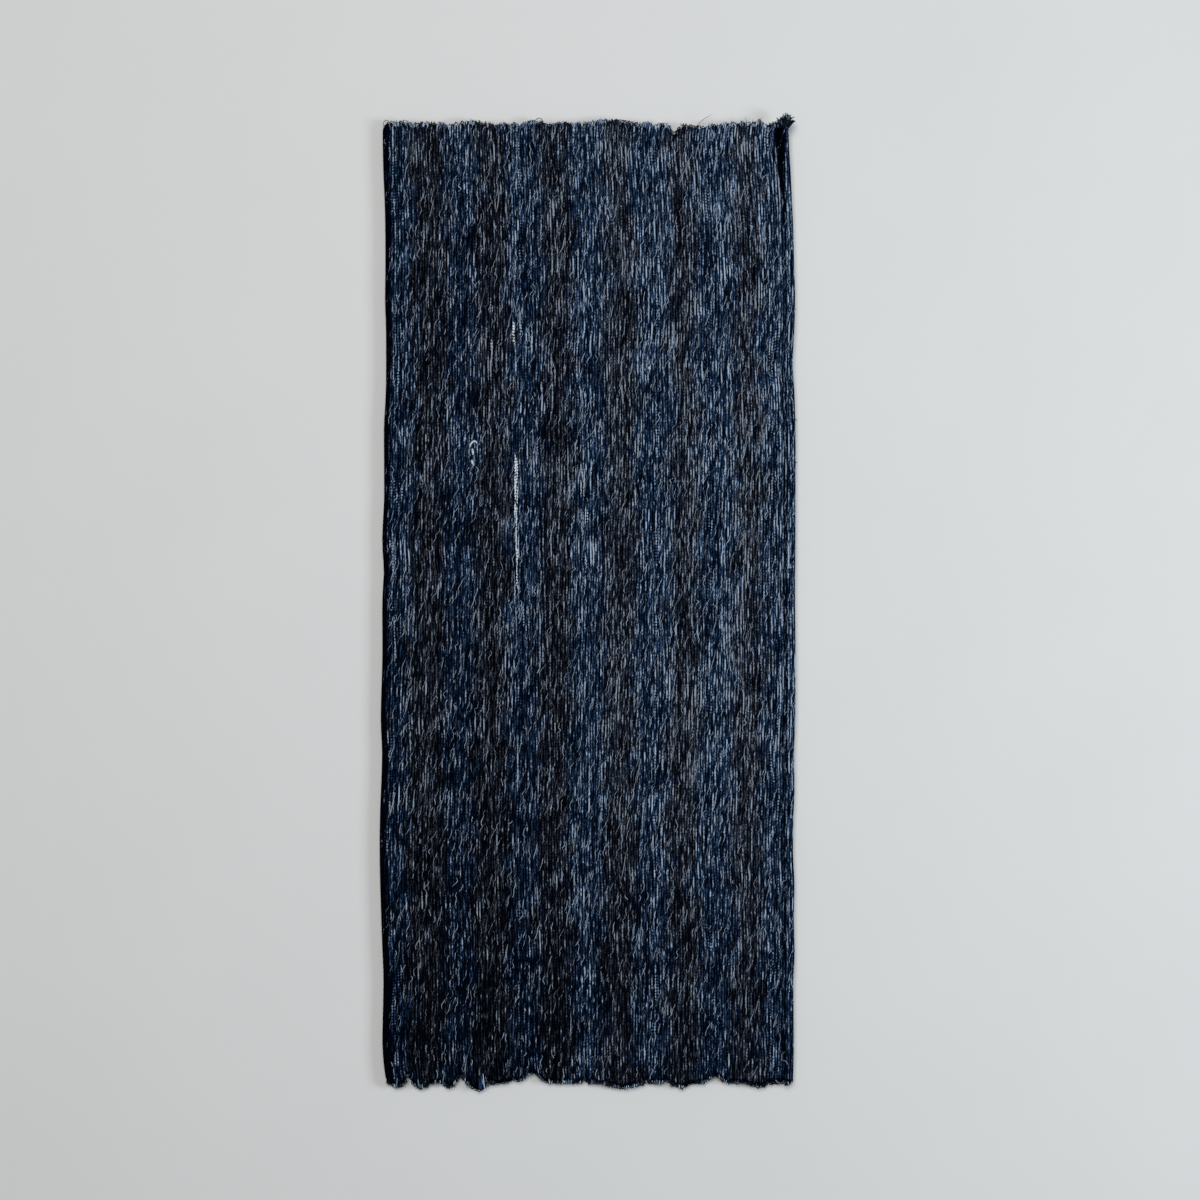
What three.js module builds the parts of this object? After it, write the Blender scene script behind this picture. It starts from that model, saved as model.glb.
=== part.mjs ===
// Folded rag rug: one woven cloth with fine ribs, folded back and forth into three layers.
// It lies flat with its right side up. Millimetres, +Z up, +Y along the ribs.
// The origin is the middle of the footprint, on the surface that the rug lies on.

import * as THREE from 'three';

// Driving dimensions of the folded rug
const FOLDED_WIDTH = 390; // from the left fold to the hemmed right edge
const FOLDED_LENGTH = 912; // from one selvedge to the other, without its lobes
const CLOTH = 3.2; // thickness of the cloth, over the ribs
const AIR = 0.6; // least air between two layers
const RIB_PITCH = 2.49; // from one rib to the next
const RIB_DEPTH = 0.45; // from a rib's crest down to the groove beside it

// Where the lower layers end
const TUCK = 20; // hidden end of the lowest layer, in from the left fold
const LOWER_FOLD_INSET = 2.5; // fold of the two lower layers, in from the hemmed edge
const LOWER_LENGTH = 888; // selvedge to selvedge of the two lower layers
const TURN_INSET = 2; // turned part of the hem, in from the selvedge

// How softly the layers lie
const FOLD_PUFF = 0.9; // extra height along both folds, where the bend holds the layers apart
const FOLD_PUFF_REACH = 45; // how far in from a fold that height fades away
const FOLD_DROOP = 1.4; // how far the left fold sinks past the hidden end below it
const RIM_LENGTH = 6; // strip along a selvedge that thins and turns down
const RIM_DROP = 1.8; // how far the longest lobes hang
const RIM_FREE = 3; // length past the lower layers before the rim starts to hang
const RIM_HANGS = 9; // length past them at which it hangs fully
const RIM_THINNING = 0.55; // share of the thickness that is left at the very edge

// Steps of the surface
const FLAT_STEP = 40; // across the faces that lie inside the fold
const LINING_STEP = 7.5; // across the hidden face of the top layer
const ROUND_STEPS = 8; // round the outside of a bend
const BEND_STEPS = 2; // round the inside of a bend
const CLOSE_STEPS = 6; // where a hidden face runs into the hem's flank or the drooping fold
const CLOSE_LENGTH = 12; // length of those closer steps

// One row for each cross-section. left and right are how far that edge stands to the right of
// its straight line. shoulder is the width over which the left fold sinks. foot and crest are
// the two sides of the hem's flank, in from the right edge, and curl is how far the hem lifts.
const SECTIONS = [
  { y: -FOLDED_LENGTH / 2, left: 1.8, right: 0.2, shoulder: 15, foot: 10.5, crest: 7, curl: 0 },
  { y: -450, left: 1.3, right: 0.2, shoulder: 15, foot: 10.5, crest: 7, curl: 0 },
  { y: -420, left: -0.8, right: 0.8, shoulder: 14, foot: 10.5, crest: 7, curl: 0 },
  { y: -330, left: -0.9, right: 1.4, shoulder: 10, foot: 10.5, crest: 7, curl: 0 },
  { y: -225, left: -3.0, right: 0.2, shoulder: 8, foot: 10.5, crest: 7, curl: 0 },
  { y: -20, left: -0.6, right: 2.6, shoulder: 8, foot: 10.5, crest: 7, curl: 0 },
  { y: 100, left: 0.6, right: 2.6, shoulder: 8, foot: 10.5, crest: 7, curl: 0 },
  { y: 215, left: 2.5, right: 0.8, shoulder: 8, foot: 10.5, crest: 7, curl: 0 },
  { y: 290, left: 2.0, right: 1.9, shoulder: 8, foot: 10.5, crest: 7, curl: 0 },
  { y: 370, left: 1.7, right: -0.2, shoulder: 8, foot: 10.5, crest: 7, curl: 0 },
  { y: 412, left: 0.4, right: -2.6, shoulder: 8, foot: 12.5, crest: 5.5, curl: 3 },
  { y: 450, left: -0.4, right: -4.1, shoulder: 8, foot: 13, crest: 5, curl: 5 },
  { y: FOLDED_LENGTH / 2, left: -0.4, right: -3.6, shoulder: 8, foot: 13, crest: 5, curl: 5 },
];

// Lobes (reach above 0) and notches (below 0) of the near selvedge, from left to right
const NEAR_LOBES = [
  { at: -182, width: 20, reach: 4 },
  { at: -170.5, width: 9, reach: -8 },
  { at: -158, width: 24, reach: 5 },
  { at: -132, width: 18, reach: 4.5 },
  { at: -121, width: 15, reach: -6.5 },
  { at: -104.5, width: 28, reach: 7.4 },
  { at: -87, width: 12, reach: 1.5 },
  { at: -70, width: 16, reach: -2.5 },
  { at: -53, width: 31, reach: -9.5 },
  { at: -3, width: 8, reach: -4 },
  { at: 34, width: 52, reach: 5 },
  { at: 56, width: 7, reach: -2 },
  { at: 75, width: 12, reach: -2 },
  { at: 89, width: 30, reach: 4.5 },
  { at: 121, width: 26, reach: -6.5 },
  { at: 163, width: 30, reach: 4 },
  { at: 171, width: 7, reach: -2 },
];

// The same for the far selvedge, which is straighter
const FAR_LOBES = [
  { at: -188, width: 14, reach: 2 },
  { at: -177, width: 12, reach: 1.8 },
  { at: -133, width: 18, reach: -2 },
  { at: -112, width: 30, reach: 2.4 },
  { at: -87, width: 16, reach: -2.5 },
  { at: -65, width: 8, reach: -3 },
  { at: -50, width: 22, reach: 2.4 },
  { at: -33, width: 16, reach: -1.5 },
  { at: 20, width: 56, reach: 2.8 },
  { at: 64, width: 14, reach: -2.5 },
  { at: 82, width: 15, reach: -6.5 },
  { at: 104, width: 70, reach: -2.6 },
  { at: 112, width: 7, reach: -2 },
  { at: 125, width: 6, reach: -1.5 },
  { at: 150, width: 14, reach: 1 },
  { at: 163, width: 8, reach: 2.4 },
  { at: 170, width: 8, reach: -2 },
  { at: 188, width: 19, reach: 7.4 },
];

// Soft swells of the layers, where air is left between them
const SWELLS = [
  { x: -120, y: 250, width: 220, length: 520, rise: 0.9 },
  { x: 70, y: 330, width: 260, length: 400, rise: 0.6 },
  { x: 20, y: 40, width: 340, length: 560, rise: 0.8 },
  { x: -90, y: -230, width: 240, length: 480, rise: 0.7 },
  { x: 110, y: -280, width: 240, length: 440, rise: 1.0 },
];

// Heights and radii that follow from the thickness
const LAYER_STEP = CLOTH + AIR;
const BEND_RADIUS = LAYER_STEP / 2;
const BEND_REACH = BEND_RADIUS + CLOTH / 2;
const UNDER_HEIGHT = CLOTH / 2;
const MIDDLE_HEIGHT = UNDER_HEIGHT + LAYER_STEP;
const TOP_HEIGHT = MIDDLE_HEIGHT + LAYER_STEP;

function clamp01(value) {
  return Math.min(1, Math.max(0, value));
}

function ease(value) {
  const t = clamp01(value);
  return t * t * (3 - 2 * t);
}

// Height of a soft bump: 1 in its middle and 0 from half its width on
function bump(distance, width) {
  return ease(1 - (2 * Math.abs(distance)) / width);
}

function lobeReach(lobes, x) {
  return lobes.reduce((sum, lobe) => sum + lobe.reach * bump(x - lobe.at, lobe.width), 0);
}

function swell(x, y) {
  const rise = (mound) => mound.rise * bump(x - mound.x, mound.width) * bump(y - mound.y, mound.length);
  return SWELLS.reduce((sum, mound) => sum + rise(mound), 0);
}

// The edges of one cross-section
function edgesOf(section) {
  const left = -FOLDED_WIDTH / 2 + section.left;
  const right = FOLDED_WIDTH / 2 + section.right;
  return { left, right, lowerRight: right - LOWER_FOLD_INSET };
}

function straight(fromX, toX, height, facing, along) {
  return { x: fromX + (toX - fromX) * along, z: height, nx: 0, nz: facing };
}

// A bend round a level axis, from one angle to another; facing -1 has the right side inside
function bend(centreX, centreZ, fromAngle, toAngle, facing, along) {
  const angle = fromAngle + (toAngle - fromAngle) * along;
  const cos = Math.cos(angle);
  const sin = Math.sin(angle);
  return {
    x: centreX + BEND_RADIUS * cos,
    z: centreZ + BEND_RADIUS * sin,
    nx: facing * cos,
    nz: facing * sin,
  };
}

// Up the flank of the hem: 0 at its foot, 1 at its crest
function flank(section, edges, x) {
  return ease((x - (edges.right - section.foot)) / (section.foot - section.crest));
}

// The seven stretches of the folded cloth, in order along it. place gives the middle of the
// cloth and the way its right side faces. The other columns are shares at the stretch's start
// and end: swelling of the swells, puffed of the lower fold's extra height, and onTop of what
// belongs to the top layer alone.
const STRETCHES = [
  {
    name: 'lowest layer',
    place: (section, edges, along) =>
      straight(edges.left + TUCK, edges.lowerRight - BEND_REACH, UNDER_HEIGHT, 1, along),
    swelling: [0, 0],
    puffed: [0, 0],
    onTop: [0, 0],
  },
  {
    name: 'right fold',
    place: (section, edges, along) =>
      bend(edges.lowerRight - BEND_REACH, UNDER_HEIGHT + BEND_RADIUS, -Math.PI / 2, Math.PI / 2, -1, along),
    swelling: [0, 0.5],
    puffed: [0, 1],
    onTop: [0, 0],
  },
  {
    name: 'middle layer',
    place: (section, edges, along) =>
      straight(edges.lowerRight - BEND_REACH, edges.left + BEND_REACH, MIDDLE_HEIGHT, -1, along),
    swelling: [0.5, 0.5],
    puffed: [1, 1],
    onTop: [0, 0],
  },
  {
    name: 'left fold',
    place: (section, edges, along) =>
      bend(edges.left + BEND_REACH, MIDDLE_HEIGHT + BEND_RADIUS, -Math.PI / 2, -Math.PI * 1.5, 1, along),
    swelling: [0.5, 1],
    puffed: [1, 1],
    onTop: [0, 1],
  },
  {
    name: 'top layer',
    place: (section, edges, along) => {
      const flat = straight(edges.left + BEND_REACH, edges.right - BEND_REACH, TOP_HEIGHT, 1, along);
      flat.z += (LAYER_STEP + section.curl) * flank(section, edges, flat.x);
      return flat;
    },
    swelling: [1, 1],
    puffed: [1, 1],
    onTop: [1, 1],
  },
  {
    name: 'roll of the hem',
    place: (section, edges, along) => {
      const axisHeight = TOP_HEIGHT + BEND_RADIUS + section.curl;
      return bend(edges.right - BEND_REACH, axisHeight, Math.PI / 2, -Math.PI / 2, 1, along);
    },
    swelling: [1, 1],
    puffed: [1, 1],
    onTop: [1, 1],
  },
  {
    name: 'turned part of the hem',
    place: (section, edges, along) =>
      straight(edges.right - BEND_REACH, edges.right - section.crest, TOP_HEIGHT + section.curl, -1, along),
    swelling: [1, 1],
    puffed: [1, 1],
    onTop: [1, 1],
    inset: TURN_INSET,
  },
];

function shareAt([start, end], along) {
  return start + (end - start) * ease(along);
}

// How far a place is lifted by swells and puffed folds, and lowered by the drooping left fold
function lift(stretch, along, section, edges, x) {
  const overRightFold = FOLD_PUFF * ease(1 - (edges.lowerRight - x) / FOLD_PUFF_REACH);
  const overLeftFold = FOLD_PUFF * ease(1 - (x - edges.left) / FOLD_PUFF_REACH);
  const droop = FOLD_DROOP * ease(1 - (x - edges.left) / section.shoulder);
  return (
    shareAt(stretch.swelling, along) * swell(x, section.y) +
    shareAt(stretch.puffed, along) * overRightFold +
    shareAt(stretch.onTop, along) * overLeftFold -
    droop
  );
}

// Distance of the selvedge from the middle: the lower layers end straight and a little short.
// The wrong side takes the least reach nearby, so that it never shows past the right side.
function selvedgeAt(stretch, along, lobes, x, wrongSide) {
  const nearby = wrongSide ? [x - LINING_STEP / 2, x, x + LINING_STEP / 2] : [x];
  const reach = Math.min(...nearby.map((place) => lobeReach(lobes, place)));
  const top = FOLDED_LENGTH / 2 + reach - (stretch.inset ?? 0);
  return THREE.MathUtils.lerp(LOWER_LENGTH / 2, top, shareAt(stretch.onTop, along));
}

// How far the very edge hangs: the longest lobes most, and a notch over the lower layers not at all
function rimHang(stretch, along, selvedge) {
  const past = selvedge - LOWER_LENGTH / 2;
  const share = clamp01((past - RIM_FREE) / (RIM_HANGS - RIM_FREE));
  return RIM_DROP * share * shareAt(stretch.onTop, along);
}

// One point of the surface. side is 1 on the right side of the cloth and -1 on the wrong side.
function surfacePoint(station, side, sectionIndex) {
  const { stretch, along, groove } = station;
  const section = SECTIONS[sectionIndex];
  const edges = edgesOf(section);
  const middle = stretch.place(section, edges, along);
  const end = section.y < 0 ? -1 : 1;
  const fromEnd = Math.min(sectionIndex, SECTIONS.length - 1 - sectionIndex);
  let y = section.y;
  let thickness = CLOTH / 2;
  let hang = 0;
  if (fromEnd < 2) {
    const lobes = end < 0 ? NEAR_LOBES : FAR_LOBES;
    const selvedge = selvedgeAt(stretch, along, lobes, middle.x, side < 0);
    y = end * (selvedge - fromEnd * RIM_LENGTH);
    if (fromEnd === 0) {
      thickness *= RIM_THINNING;
      hang = rimHang(stretch, along, selvedge);
    }
  }
  const offset = side * (thickness - (groove ? RIB_DEPTH : 0));
  const z = middle.z + middle.nz * offset + lift(stretch, along, section, edges, middle.x) - hang;
  return new THREE.Vector3(middle.x + middle.nx * offset, y, z);
}

// Stations along one stretch, without its last, which is the first of the next stretch
function stationsAlong(index, steps, ribbed) {
  return Array.from({ length: steps }, (_, step) => ({
    stretch: STRETCHES[index],
    along: step / steps,
    order: index + step / steps,
    groove: ribbed && step % 2 === 1,
  }));
}

// The same across a flat layer's hidden face: even steps, then closer ones before its end
function stationsAcross(index, evenStep) {
  const length = FOLDED_WIDTH - 2 * BEND_REACH;
  const evenShare = (length - CLOSE_LENGTH) / length;
  const evenSteps = Math.round((length - CLOSE_LENGTH) / evenStep);
  const even = Array.from({ length: evenSteps }, (_, step) => (evenShare * step) / evenSteps);
  const closer = Array.from(
    { length: CLOSE_STEPS },
    (_, step) => evenShare + ((1 - evenShare) * step) / CLOSE_STEPS,
  );
  const station = (along) => ({ stretch: STRETCHES[index], along, order: index + along, groove: false });
  return [...even, ...closer].map(station);
}

function lastStation() {
  const last = STRETCHES.length - 1;
  return { stretch: STRETCHES[last], along: 1, order: last + 1, groove: false };
}

const flatSteps = Math.round(FOLDED_WIDTH / FLAT_STEP);
const ribSteps = 2 * Math.round((FOLDED_WIDTH - 2 * BEND_REACH) / RIB_PITCH);
const [UNDER, RIGHT_FOLD, MIDDLE, LEFT_FOLD, TOP, ROLL, TURN] = STRETCHES.keys();

// The right side shows its ribs on the top layer and round the bends at its two ends
const rightSide = [
  ...stationsAlong(UNDER, flatSteps, false),
  ...stationsAlong(RIGHT_FOLD, BEND_STEPS, false),
  ...stationsAcross(MIDDLE, FLAT_STEP),
  ...stationsAlong(LEFT_FOLD, ROUND_STEPS, true),
  ...stationsAlong(TOP, ribSteps, true),
  ...stationsAlong(ROLL, ROUND_STEPS, true),
  ...stationsAlong(TURN, 1, false),
  lastStation(),
];

// The wrong side shows them round the lower fold alone
const wrongSide = [
  ...stationsAlong(UNDER, flatSteps, false),
  ...stationsAlong(RIGHT_FOLD, ROUND_STEPS, true),
  ...stationsAcross(MIDDLE, FLAT_STEP),
  ...stationsAlong(LEFT_FOLD, BEND_STEPS, false),
  ...stationsAcross(TOP, LINING_STEP),
  ...stationsAlong(ROLL, BEND_STEPS, false),
  ...stationsAlong(TURN, 1, false),
  lastStation(),
];

// Closes the cloth along a selvedge with a strip of triangles between its two sides
function selvedgeStrip(right, wrong, rightAt, wrongAt, flip) {
  const triangles = [];
  let r = 0;
  let w = 0;
  while (r < right.length - 1 || w < wrong.length - 1) {
    const wrongDone = w === wrong.length - 1;
    const rightNext = r < right.length - 1 && (wrongDone || right[r + 1].order <= wrong[w + 1].order);
    const third = rightNext ? rightAt(r + 1) : wrongAt(w + 1);
    triangles.push(flip ? [rightAt(r), third, wrongAt(w)] : [rightAt(r), wrongAt(w), third]);
    if (rightNext) {
      r += 1;
    } else {
      w += 1;
    }
  }
  return triangles;
}

// The whole cloth as one closed surface
function clothGeometry() {
  const rows = SECTIONS.length;
  const points = [];
  SECTIONS.forEach((_, row) => {
    rightSide.forEach((station) => points.push(surfacePoint(station, 1, row)));
    wrongSide.forEach((station) => points.push(surfacePoint(station, -1, row)));
  });
  const rowSize = rightSide.length + wrongSide.length;
  const rightAt = (station, row) => row * rowSize + station;
  const wrongAt = (station, row) => row * rowSize + rightSide.length + station;
  const rightEnd = rightSide.length - 1;
  const wrongEnd = wrongSide.length - 1;

  const triangles = [];
  const addQuad = (a, b, c, d) => triangles.push([a, b, c], [a, c, d]);
  for (let row = 0; row < rows - 1; row += 1) {
    const next = row + 1;
    for (let i = 0; i < rightEnd; i += 1) {
      addQuad(rightAt(i, row), rightAt(i + 1, row), rightAt(i + 1, next), rightAt(i, next));
    }
    for (let i = 0; i < wrongEnd; i += 1) {
      addQuad(wrongAt(i, row), wrongAt(i, next), wrongAt(i + 1, next), wrongAt(i + 1, row));
    }
    addQuad(rightAt(0, row), rightAt(0, next), wrongAt(0, next), wrongAt(0, row));
    addQuad(rightAt(rightEnd, row), wrongAt(wrongEnd, row), wrongAt(wrongEnd, next), rightAt(rightEnd, next));
  }
  [0, rows - 1].forEach((row) => {
    const right = (station) => rightAt(station, row);
    const wrong = (station) => wrongAt(station, row);
    triangles.push(...selvedgeStrip(rightSide, wrongSide, right, wrong, row > 0));
  });

  const geometry = new THREE.BufferGeometry();
  geometry.setFromPoints(points);
  geometry.setIndex(triangles.flat());
  geometry.computeVertexNormals();
  return geometry;
}

const rugCloth = new THREE.MeshStandardMaterial({ color: 0x2b3442, roughness: 0.95, metalness: 0 });
const rug = new THREE.Mesh(clothGeometry(), rugCloth);
rug.name = 'rug';

const foldedRug = new THREE.Group();
foldedRug.add(rug);

export default foldedRug;
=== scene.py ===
"""Folded rag rug: the cloth, its threads, the floor, the light and the camera, in Blender 4.5.

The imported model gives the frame: metres, +X from the left fold to the hemmed edge, +Y along the
ribs, +Z up. Sizes below are millimetres, as a weaver would note them, and become metres in the
meshes.
"""

import logging
import math
import random
from dataclasses import dataclass
from enum import Enum
from typing import Sequence

import bpy
import numpy as np
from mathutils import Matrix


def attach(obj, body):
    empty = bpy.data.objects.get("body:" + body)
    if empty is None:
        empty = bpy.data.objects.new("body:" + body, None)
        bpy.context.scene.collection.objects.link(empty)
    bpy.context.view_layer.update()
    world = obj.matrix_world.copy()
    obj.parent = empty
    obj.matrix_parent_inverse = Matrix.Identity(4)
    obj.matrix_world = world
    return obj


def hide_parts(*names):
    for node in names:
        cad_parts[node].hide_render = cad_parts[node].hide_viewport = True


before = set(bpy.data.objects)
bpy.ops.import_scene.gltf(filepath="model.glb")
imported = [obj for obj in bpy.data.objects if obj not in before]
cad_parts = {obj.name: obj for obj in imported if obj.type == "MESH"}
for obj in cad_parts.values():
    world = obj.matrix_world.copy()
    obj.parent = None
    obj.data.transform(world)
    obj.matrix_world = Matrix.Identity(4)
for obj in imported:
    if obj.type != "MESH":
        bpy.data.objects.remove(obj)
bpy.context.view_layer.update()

MM = 0.001
BODY = "root"
NODE = "rug"
log = logging.getLogger("rag_rug")

Socket = bpy.types.NodeSocket
Colour = tuple[float, float, float]


class Side(Enum):
    """The two faces of the cloth."""

    RIGHT = 1
    WRONG = -1


class Stretch(Enum):
    """The stretches of the folded cloth, in order along it."""

    LOWEST = 0
    RIGHT_FOLD = 1
    MIDDLE = 2
    LEFT_FOLD = 3
    TOP = 4
    ROLL = 5
    TURN = 6


# Left and right edge: (y, how far the edge stands to the right of its straight line)
LEFT_EDGE = (
    (-456, 2.0), (-447, 1.0), (-424, -0.8), (-362, 0.2), (-331, -0.9), (-299, -2.0), (-237, -3.4),
    (-206, -3.1), (-144, -1.1), (-112, -2.3), (-50, -0.8), (12, -0.5), (30, 0.6), (60, -0.9),
    (106, 0.9), (168, 0.7), (199, 2.3), (262, 2.7), (293, 1.7), (324, 2.1), (386, 1.4), (417, 0.1),
    (456, -0.5),
)
RIGHT_EDGE = (
    (-456, 0.2), (-424, 0.8), (-362, 0.5), (-331, 1.6), (-299, 0.9), (-268, 1.5), (-237, 0.1),
    (-206, 0.3), (-175, 1.6), (-144, 1.1), (-112, 2.2), (-50, 2.5), (12, 2.0), (43, 2.3), (106, 2.5),
    (168, 2.4), (199, 1.5), (230, -0.1), (262, 1.5), (293, 2.1), (324, 1.1), (355, 0.4),
    (386, -1.1), (417, -2.9), (444, -4.4), (456, -3.4),
)
# The hem's flank and lift: (y, foot in from the edge, crest in from the edge, curl)
HEM = (
    (-456, 10.5, 7.0, 0.0), (360, 10.5, 7.0, 0.0), (412, 12.5, 5.5, 3.0), (450, 13.0, 5.0, 5.0),
    (456, 13.0, 5.0, 5.0),
)
# Width over which the left fold sinks: (y, width)
SHOULDER = ((-456, 15.0), (-445, 14.0), (-330, 10.0), (-190, 8.0), (456, 8.0))

# Lobes (reach above 0) and notches (below 0) of the two selvedges: (x, width, reach)
NEAR_LOBES = (
    (-182, 20, 4.0), (-170.5, 9, -8.0), (-158, 24, 5.0), (-132, 18, 4.5), (-121, 15, -6.5),
    (-104.5, 28, 7.5), (-87, 12, 1.5), (-70, 16, -2.5), (-53, 31, -9.5), (-3, 8, -4.0),
    (34, 52, 5.0), (56, 7, -2.0), (75, 12, -2.0), (89, 30, 4.5), (121, 26, -6.5), (163, 30, 4.0),
    (171, 7, -2.0),
)
FAR_LOBES = (
    (-188, 14, 2.0), (-177, 12, 1.8), (-133, 18, -2.0), (-112, 30, 2.4), (-87, 16, -2.5),
    (-65, 8, -3.0), (-50, 22, 2.4), (-33, 16, -1.5), (20, 56, 2.8), (64, 14, -2.5), (82, 16, -8.5),
    (104, 70, -2.6), (112, 7, -2.0), (125, 6, -1.5), (150, 14, 1.0), (163, 8, 2.4), (170, 8, -2.0),
    (188, 19, 6.5),
)
# Soft swells of the layers: (x, y, width, length, rise)
SWELLS = (
    (-120, 250, 220, 520, 0.9), (70, 330, 260, 400, 0.6), (20, 40, 340, 560, 0.8),
    (-90, -230, 240, 480, 0.7), (110, -280, 240, 440, 1.0),
)


def ease(value: np.ndarray | float) -> np.ndarray:
    """Smooth step.

    Args:
        value: Any number or array.

    Returns:
        0 below 0, 1 above 1, and a smooth rise between.
    """
    t = np.clip(value, 0.0, 1.0)
    return t * t * (3 - 2 * t)


def bump(distance: np.ndarray | float, width: float) -> np.ndarray:
    """Soft bump.

    Args:
        distance: How far from its middle.
        width: Its whole width.

    Returns:
        1 in the middle and 0 from half the width on.
    """
    return ease(1 - 2 * np.abs(distance) / width)


def smooth_table(rows: Sequence[tuple[float, ...]], column: int, at: np.ndarray) -> np.ndarray:
    """Reads a table with a smooth curve through its rows.

    Args:
        rows: Rows that start with their place, in rising order.
        column: The column to read.
        at: The places wanted.

    Returns:
        The column's values there.
    """
    xs = np.array([row[0] for row in rows], float)
    ys = np.array([row[column] for row in rows], float)
    slopes = np.gradient(ys, xs)
    flat = np.concatenate([[True], np.diff(ys[:-1]) * np.diff(ys[1:]) <= 0, [True]])
    slopes[flat] = 0.0
    at = np.clip(at, xs[0], xs[-1])
    i = np.clip(np.searchsorted(xs, at) - 1, 0, len(xs) - 2)
    span = xs[i + 1] - xs[i]
    t = (at - xs[i]) / span
    return (
        ys[i] * (1 + 2 * t) * (1 - t) ** 2
        + ys[i + 1] * t * t * (3 - 2 * t)
        + slopes[i] * span * t * (1 - t) ** 2
        + slopes[i + 1] * span * t * t * (t - 1)
    )


def lobe_reach(lobes: Sequence[tuple[float, float, float]], x: np.ndarray) -> np.ndarray:
    """How far a selvedge reaches past its straight line at x."""
    return sum(reach * bump(x - at, width) for at, width, reach in lobes)


def swell(x: np.ndarray, y: np.ndarray) -> np.ndarray:
    """Height of the soft swells at a place."""
    return sum(
        rise * bump(x - at_x, width) * bump(y - at_y, length)
        for at_x, at_y, width, length, rise in SWELLS
    )


class SoftNoise:
    """Smooth random numbers over the cloth, the same on each run."""

    SIZE = 256

    def __init__(self, seed: int, cell_x: float, cell_y: float) -> None:
        """Draws the lattice.

        Args:
            seed: Which noise it is.
            cell_x: Distance between random values across the ribs.
            cell_y: The same along them.
        """
        self.grid = np.random.default_rng(seed).uniform(-1, 1, (self.SIZE, self.SIZE))
        self.cell_x = cell_x
        self.cell_y = cell_y

    def at(self, x: np.ndarray | float, y: np.ndarray | float) -> np.ndarray:
        """Noise between -1 and 1 at a place."""
        gx, gy = np.broadcast_arrays(np.asarray(x, float) / self.cell_x, np.asarray(y, float) / self.cell_y)
        ix = np.floor(gx).astype(int)
        iy = np.floor(gy).astype(int)
        tx = ease(gx - ix)
        ty = ease(gy - iy)
        x0, x1 = ix % self.SIZE, (ix + 1) % self.SIZE
        y0, y1 = iy % self.SIZE, (iy + 1) % self.SIZE
        low = self.grid[x0, y0] * (1 - tx) + self.grid[x1, y0] * tx
        high = self.grid[x0, y1] * (1 - tx) + self.grid[x1, y1] * tx
        return low * (1 - ty) + high * ty


class NodeSheet:
    """Adds nodes to one node tree and links them."""

    def __init__(self, tree: bpy.types.NodeTree) -> None:
        """Takes the tree that the nodes go into."""
        self.tree = tree

    def add(self, kind: str, inputs: dict | None = None, **settings) -> bpy.types.Node:
        """Adds one node.

        Args:
            kind: Blender's name of the node type.
            inputs: Values or sockets for its inputs, by name or number.
            settings: Its other settings.

        Returns:
            The node.
        """
        node = self.tree.nodes.new(kind)
        for name, value in settings.items():
            setattr(node, name, value)
        for key, value in (inputs or {}).items():
            self.feed(node.inputs[key], value)
        return node

    def feed(self, socket: Socket, value: object) -> None:
        """Links a socket, or sets the value of an input."""
        if isinstance(value, Socket):
            self.tree.links.new(value, socket)
        else:
            socket.default_value = value

    def math(self, operation: str, *values: object, clamp: bool = False) -> Socket:
        """A Math node.

        Args:
            operation: Its operation.
            values: Numbers or sockets, in order.
            clamp: Whether the result is kept between 0 and 1.

        Returns:
            Its output.
        """
        node = self.add("ShaderNodeMath", dict(enumerate(values)), operation=operation, use_clamp=clamp)
        return node.outputs[0]

    def total(self, *values: object) -> Socket:
        """Adds up numbers and sockets."""
        result = values[0]
        for value in values[1:]:
            result = self.math("ADD", result, value)
        return result

    def ramp(self, value: Socket, start: float, end: float, low: float = 0.0, high: float = 1.0) -> Socket:
        """A smooth rise from low to high while value goes from start to end."""
        node = self.add(
            "ShaderNodeMapRange",
            {"Value": value, "From Min": start, "From Max": end, "To Min": low, "To Max": high},
            interpolation_type="SMOOTHSTEP",
        )
        return node.outputs["Result"]

    def vector(self, x: object, y: object, z: object) -> Socket:
        """A vector from its three parts."""
        return self.add("ShaderNodeCombineXYZ", {"X": x, "Y": y, "Z": z}).outputs[0]

    def noise(self, place: Socket, detail: float = 1.0, roughness: float = 0.5) -> Socket:
        """Soft noise about 0 with cells of size 1, in place's own units.

        Args:
            place: Where it is read.
            detail: Finer layers on top of the first.
            roughness: How strong those are.

        Returns:
            Values mostly between -1 and 1.
        """
        node = self.add(
            "ShaderNodeTexNoise",
            {"Vector": place, "Scale": 1.0, "Detail": detail, "Roughness": roughness},
        )
        centred = self.math("SUBTRACT", node.outputs[0], 0.5)
        return self.math("MULTIPLY", centred, 4.0)

    def random(self, place: object) -> Socket:
        """A random number from 0 to 1 for each value of place."""
        return self.add("ShaderNodeTexWhiteNoise", {"W": place}, noise_dimensions="1D").outputs[0]

    def mix_colours(self, share: object, first: object, second: object) -> Socket:
        """Mixes two colours."""
        node = self.add("ShaderNodeMix", data_type="RGBA")
        colours = [socket for socket in node.inputs if socket.type == "RGBA"]
        self.feed(node.inputs[0], share)
        self.feed(colours[0], first)
        self.feed(colours[1], second)
        return next(socket for socket in node.outputs if socket.type == "RGBA")


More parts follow.
